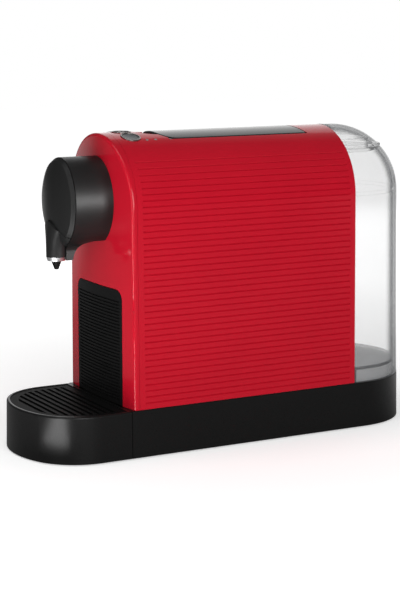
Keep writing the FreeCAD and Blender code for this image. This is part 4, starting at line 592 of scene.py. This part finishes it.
# %% Chip with its legs
CHIP_MM = (10, 10, 1.8)
CHIP_ROUND = 0.25 * MM
LEG_MM = (1.2, 0.5, 0.3)                       # its foot, which lies on the board
LEG_BENDS = [(0.4, 0), (0.5, 0.7), (0.6, 0)]   # steps from the foot to the chip, inwards and up, in mm
LEG_PITCH = 1.4
LEG_COUNT = 6
leg = block(LEG_MM)
pick(leg, lambda centre, normal: normal.x > 0.9)
for inwards, rise in LEG_BENDS:
    bpy.ops.mesh.extrude_region_move(TRANSFORM_OT_translate={"value": (inwards * MM, 0, rise * MM)})
finish_mesh()
beside_chip = Matrix.Translation(((CHIP_MM[0] / 2 + LEG_MM[0]) * MM, 0, 0))
leg.data.transform(beside_chip @ Matrix.Rotation(math.pi, 4, "Z"))
legs = []
for side in (0, math.pi):
    for index in range(LEG_COUNT):
        shift = (index - (LEG_COUNT - 1) / 2) * LEG_PITCH * MM
        legs.append(copy_part(leg, Matrix.Rotation(side, 4, "Z") @ Matrix.Translation((0, shift, 0))))
bpy.data.objects.remove(leg)
chip = block(CHIP_MM)
pick(chip, above_foot)
bpy.ops.mesh.bevel(offset=CHIP_ROUND, segments=2, affect="EDGES")
finish_mesh()
bpy.ops.object.select_all(action="DESELECT")
for twin in legs:
    twin.select_set(True)
bpy.context.view_layer.objects.active = legs[0]
bpy.ops.object.join()
on_board(legs[0], "board_chip_legs", (-18, -2), steel)
on_board(chip, "board_chip", (-18, -2), relay_black)

# %% Plugs
PLUG_MM = (16, 7, 8)
PLUG_WALL = 0.9 * MM
PLUG_DEPTH = 6.0 * MM
PLUG_ROUND = 0.4 * MM


def outer_wall(centre, normal):
    """Rule for the plug's four outer walls."""
    reach = 2 * max(abs(centre.x) / PLUG_MM[0], abs(centre.y) / PLUG_MM[1]) / MM   # 1 at the outside
    return abs(normal.z) < 0.1 and reach > 0.99


plug = block(PLUG_MM)
pick(plug, on_top)
bpy.ops.mesh.inset(thickness=PLUG_WALL)
bpy.ops.mesh.extrude_region_move(TRANSFORM_OT_translate={"value": (0, 0, -PLUG_DEPTH)})
pick(plug, outer_wall)
bpy.ops.mesh.bevel(offset=PLUG_ROUND, segments=2, affect="EDGES")
finish_mesh()
on_board(copy_part(plug), "board_plug_2", (14, -16), plug_white)
on_board(plug, "board_plug_1", (-26, -16), plug_white)

# %% [markdown]
# ## The studio
#
# A pale floor under soft light. The floor and the world look white to the camera and through the tank, and the
# floor still takes the machine's soft shadow. In such a studio the white paper stands behind the machine, and
# the room on the camera's side is dark. So a glossy face mirrors white only towards the paper: the floor and
# the world fade away from that direction.

# %% What faces the paper, and what the camera sees
BACKDROP = Vector((-0.5, 0.87, 0))   # from the machine towards the white paper behind it


def towards_paper(tree, vector, fade):
    """Share that grows as a place or a heading lies further towards the paper."""
    side = add(tree, "VectorMath", {0: vector, 1: BACKDROP}, operation="DOT_PRODUCT")
    return add(tree, "MapRange", {"Value": side.outputs["Value"], **fade}).outputs["Result"]


def seen_directly(tree, path):
    """One for rays from the camera and for rays that went through something clear."""
    return add(tree, "Math", {0: path.outputs["Is Camera Ray"], 1: path.outputs["Is Transmission Ray"]},
               operation="ADD").outputs[0]


# %% Floor
FLOOR_M = 8
FIBRE_MM = 30
FLOOR_FADE = {"From Min": 0.1, "From Max": 0.6, "To Min": 0.1, "To Max": 1.0}    # metres, share
FLOOR_GLOW = {"From Min": 0.2, "From Max": 0.8, "To Min": 0.42, "To Max": 0.8}   # metres, strength
bpy.ops.object.select_all(action="DESELECT")
bpy.ops.mesh.primitive_plane_add(size=FLOOR_M, location=(0, 0, 0))
floor = bpy.context.object
floor.name = "studio_floor"
bpy.ops.object.mode_set(mode="EDIT")
bpy.ops.mesh.select_all(action="SELECT")
bpy.ops.mesh.subdivide(number_cuts=3)
bpy.ops.object.mode_set(mode="OBJECT")
floor_paper, tree, place_of = new_finish("white_studio_paper")
fibre = add(tree, "TexNoise", {"Vector": place_of, "Scale": grains(FIBRE_MM), "Detail": 2.0})
paper = add(tree, "Mix", {"Factor": fibre.outputs["Fac"], "A": linear("#F4F4F4"), "B": linear("#F0F0F0")},
            data_type="RGBA")
path = add(tree, "LightPath")
lit = towards_paper(tree, place_of, FLOOR_FADE)
dim = add(tree, "Mix", {"Factor": lit, "A": linear("#707070"), "B": paper.outputs["Result"]}, data_type="RGBA")
shown = add(tree, "Mix", {"Factor": path.outputs["Is Glossy Ray"], "A": paper.outputs["Result"],
                          "B": dim.outputs["Result"]}, data_type="RGBA")
diffuse = add(tree, "BsdfDiffuse", {"Color": shown.outputs["Result"]})
far = add(tree, "VectorMath", {0: place_of}, operation="LENGTH")
whiten = add(tree, "MapRange", {"Value": far.outputs["Value"], **FLOOR_GLOW})
seen = add(tree, "Math", {0: path.outputs["Is Glossy Ray"], 1: lit, 2: seen_directly(tree, path)},
           operation="MULTIPLY_ADD", use_clamp=True)
share = add(tree, "Math", {0: seen.outputs[0], 1: whiten.outputs["Result"]}, operation="MULTIPLY")
glow = add(tree, "Emission", {"Color": (1, 1, 1, 1), "Strength": share.outputs[0]})
white = add(tree, "AddShader", {0: diffuse.outputs["BSDF"], 1: glow.outputs["Emission"]})
close_finish(tree, white.outputs["Shader"])
floor.data.materials.append(floor_paper)
print("floor in metres:", FLOOR_M)

# %% World
ROOM_STRENGTH = 0.25
WORLD_FADE = {"From Min": 0.55, "From Max": 0.82, "To Min": 0.1, "To Max": 0.65}   # cosine, strength
world = bpy.data.worlds.new("studio_white")
bpy.context.scene.world = world
world.use_nodes = True
tree = world.node_tree
tree.nodes.clear()
path = add(tree, "LightPath")
lit = towards_paper(tree, add(tree, "TexCoord").outputs["Generated"], WORLD_FADE)
mirrored = add(tree, "Mix", {"Factor": path.outputs["Is Glossy Ray"], "A": ROOM_STRENGTH, "B": lit})
level = add(tree, "Mix", {"Factor": seen_directly(tree, path), "A": mirrored.outputs["Result"], "B": 1.0})
plain = add(tree, "Background", {"Color": (1, 1, 1, 1), "Strength": level.outputs["Result"]})
add(tree, "OutputWorld", {"Surface": plain.outputs["Background"]})
print("world:", world.name)

# %% [markdown]
# ### Softboxes
#
# Three broad lamps give the light: the key on the camera's side, one overhead and one behind. The narrow lamps
# add little light, and each is there for one reflection: the front strip in the bowed front, the nose strip and
# the card in the base's nose, and the side strip in the barrel. The side strip lights the head alone, as a lamp
# with a grid does.

# %% Softboxes
MIDDLE = (0, 0, 0.13)


def softbox(name, place_m, aim_m, size_m, watts):
    """Rectangular area lamp that faces a point."""
    data = bpy.data.lights.new(name, "AREA")
    data.shape = "RECTANGLE"
    data.size, data.size_y = size_m
    data.energy = watts
    lamp = bpy.data.objects.new(name, data)
    lamp.visible_camera = False
    bpy.context.scene.collection.objects.link(lamp)
    aim = Vector(aim_m) - Vector(place_m)
    lamp.matrix_world = Matrix.Translation(place_m) @ aim.to_track_quat("-Z", "Y").to_matrix().to_4x4()
    return lamp


softbox("key_softbox", place_m=(1.35, -0.3, 0.42), aim_m=MIDDLE, size_m=(0.9, 0.7), watts=12.2)
softbox("top_softbox", place_m=(0.1, -0.6, 1.4), aim_m=MIDDLE, size_m=(1.0, 0.7), watts=4)
softbox("back_softbox", place_m=(-1.05, 0.85, 0.75), aim_m=MIDDLE, size_m=(1.6, 1.2), watts=4)
softbox("front_strip", place_m=(0.26, -0.54, 0.26), aim_m=(0, -0.12, 0.10), size_m=(0.08, 0.52), watts=0.5)
softbox("nose_strip", place_m=(0.19, -0.38, 0.02), aim_m=(0.16, -0.34, 1.0), size_m=(0.07, 0.46), watts=0.9)
softbox("front_card", place_m=(0.50, -1.10, 0.02), aim_m=(0.46, -1.04, 1.0), size_m=(0.34, 0.7), watts=3.4)
side_strip = softbox("side_strip", place_m=(0.93, 0.22, 0.22), aim_m=(0, -0.1, 0.2), size_m=(0.22, 0.24),
                     watts=5.0)
head_only = bpy.data.collections.new("lit_by_side_strip")
for name in ("head_barrel", "head_cap", "spout_cover", "spout_ring"):
    head_only.objects.link(nodes[name])
side_strip.light_linking.receiver_collection = head_only
print("softboxes:", len(bpy.data.lights))

# %% [markdown]
# ## Finish
#
# The picture's colours are shown with the Standard view transform.

# %% Finish
bpy.context.scene.view_settings.view_transform = "Standard"
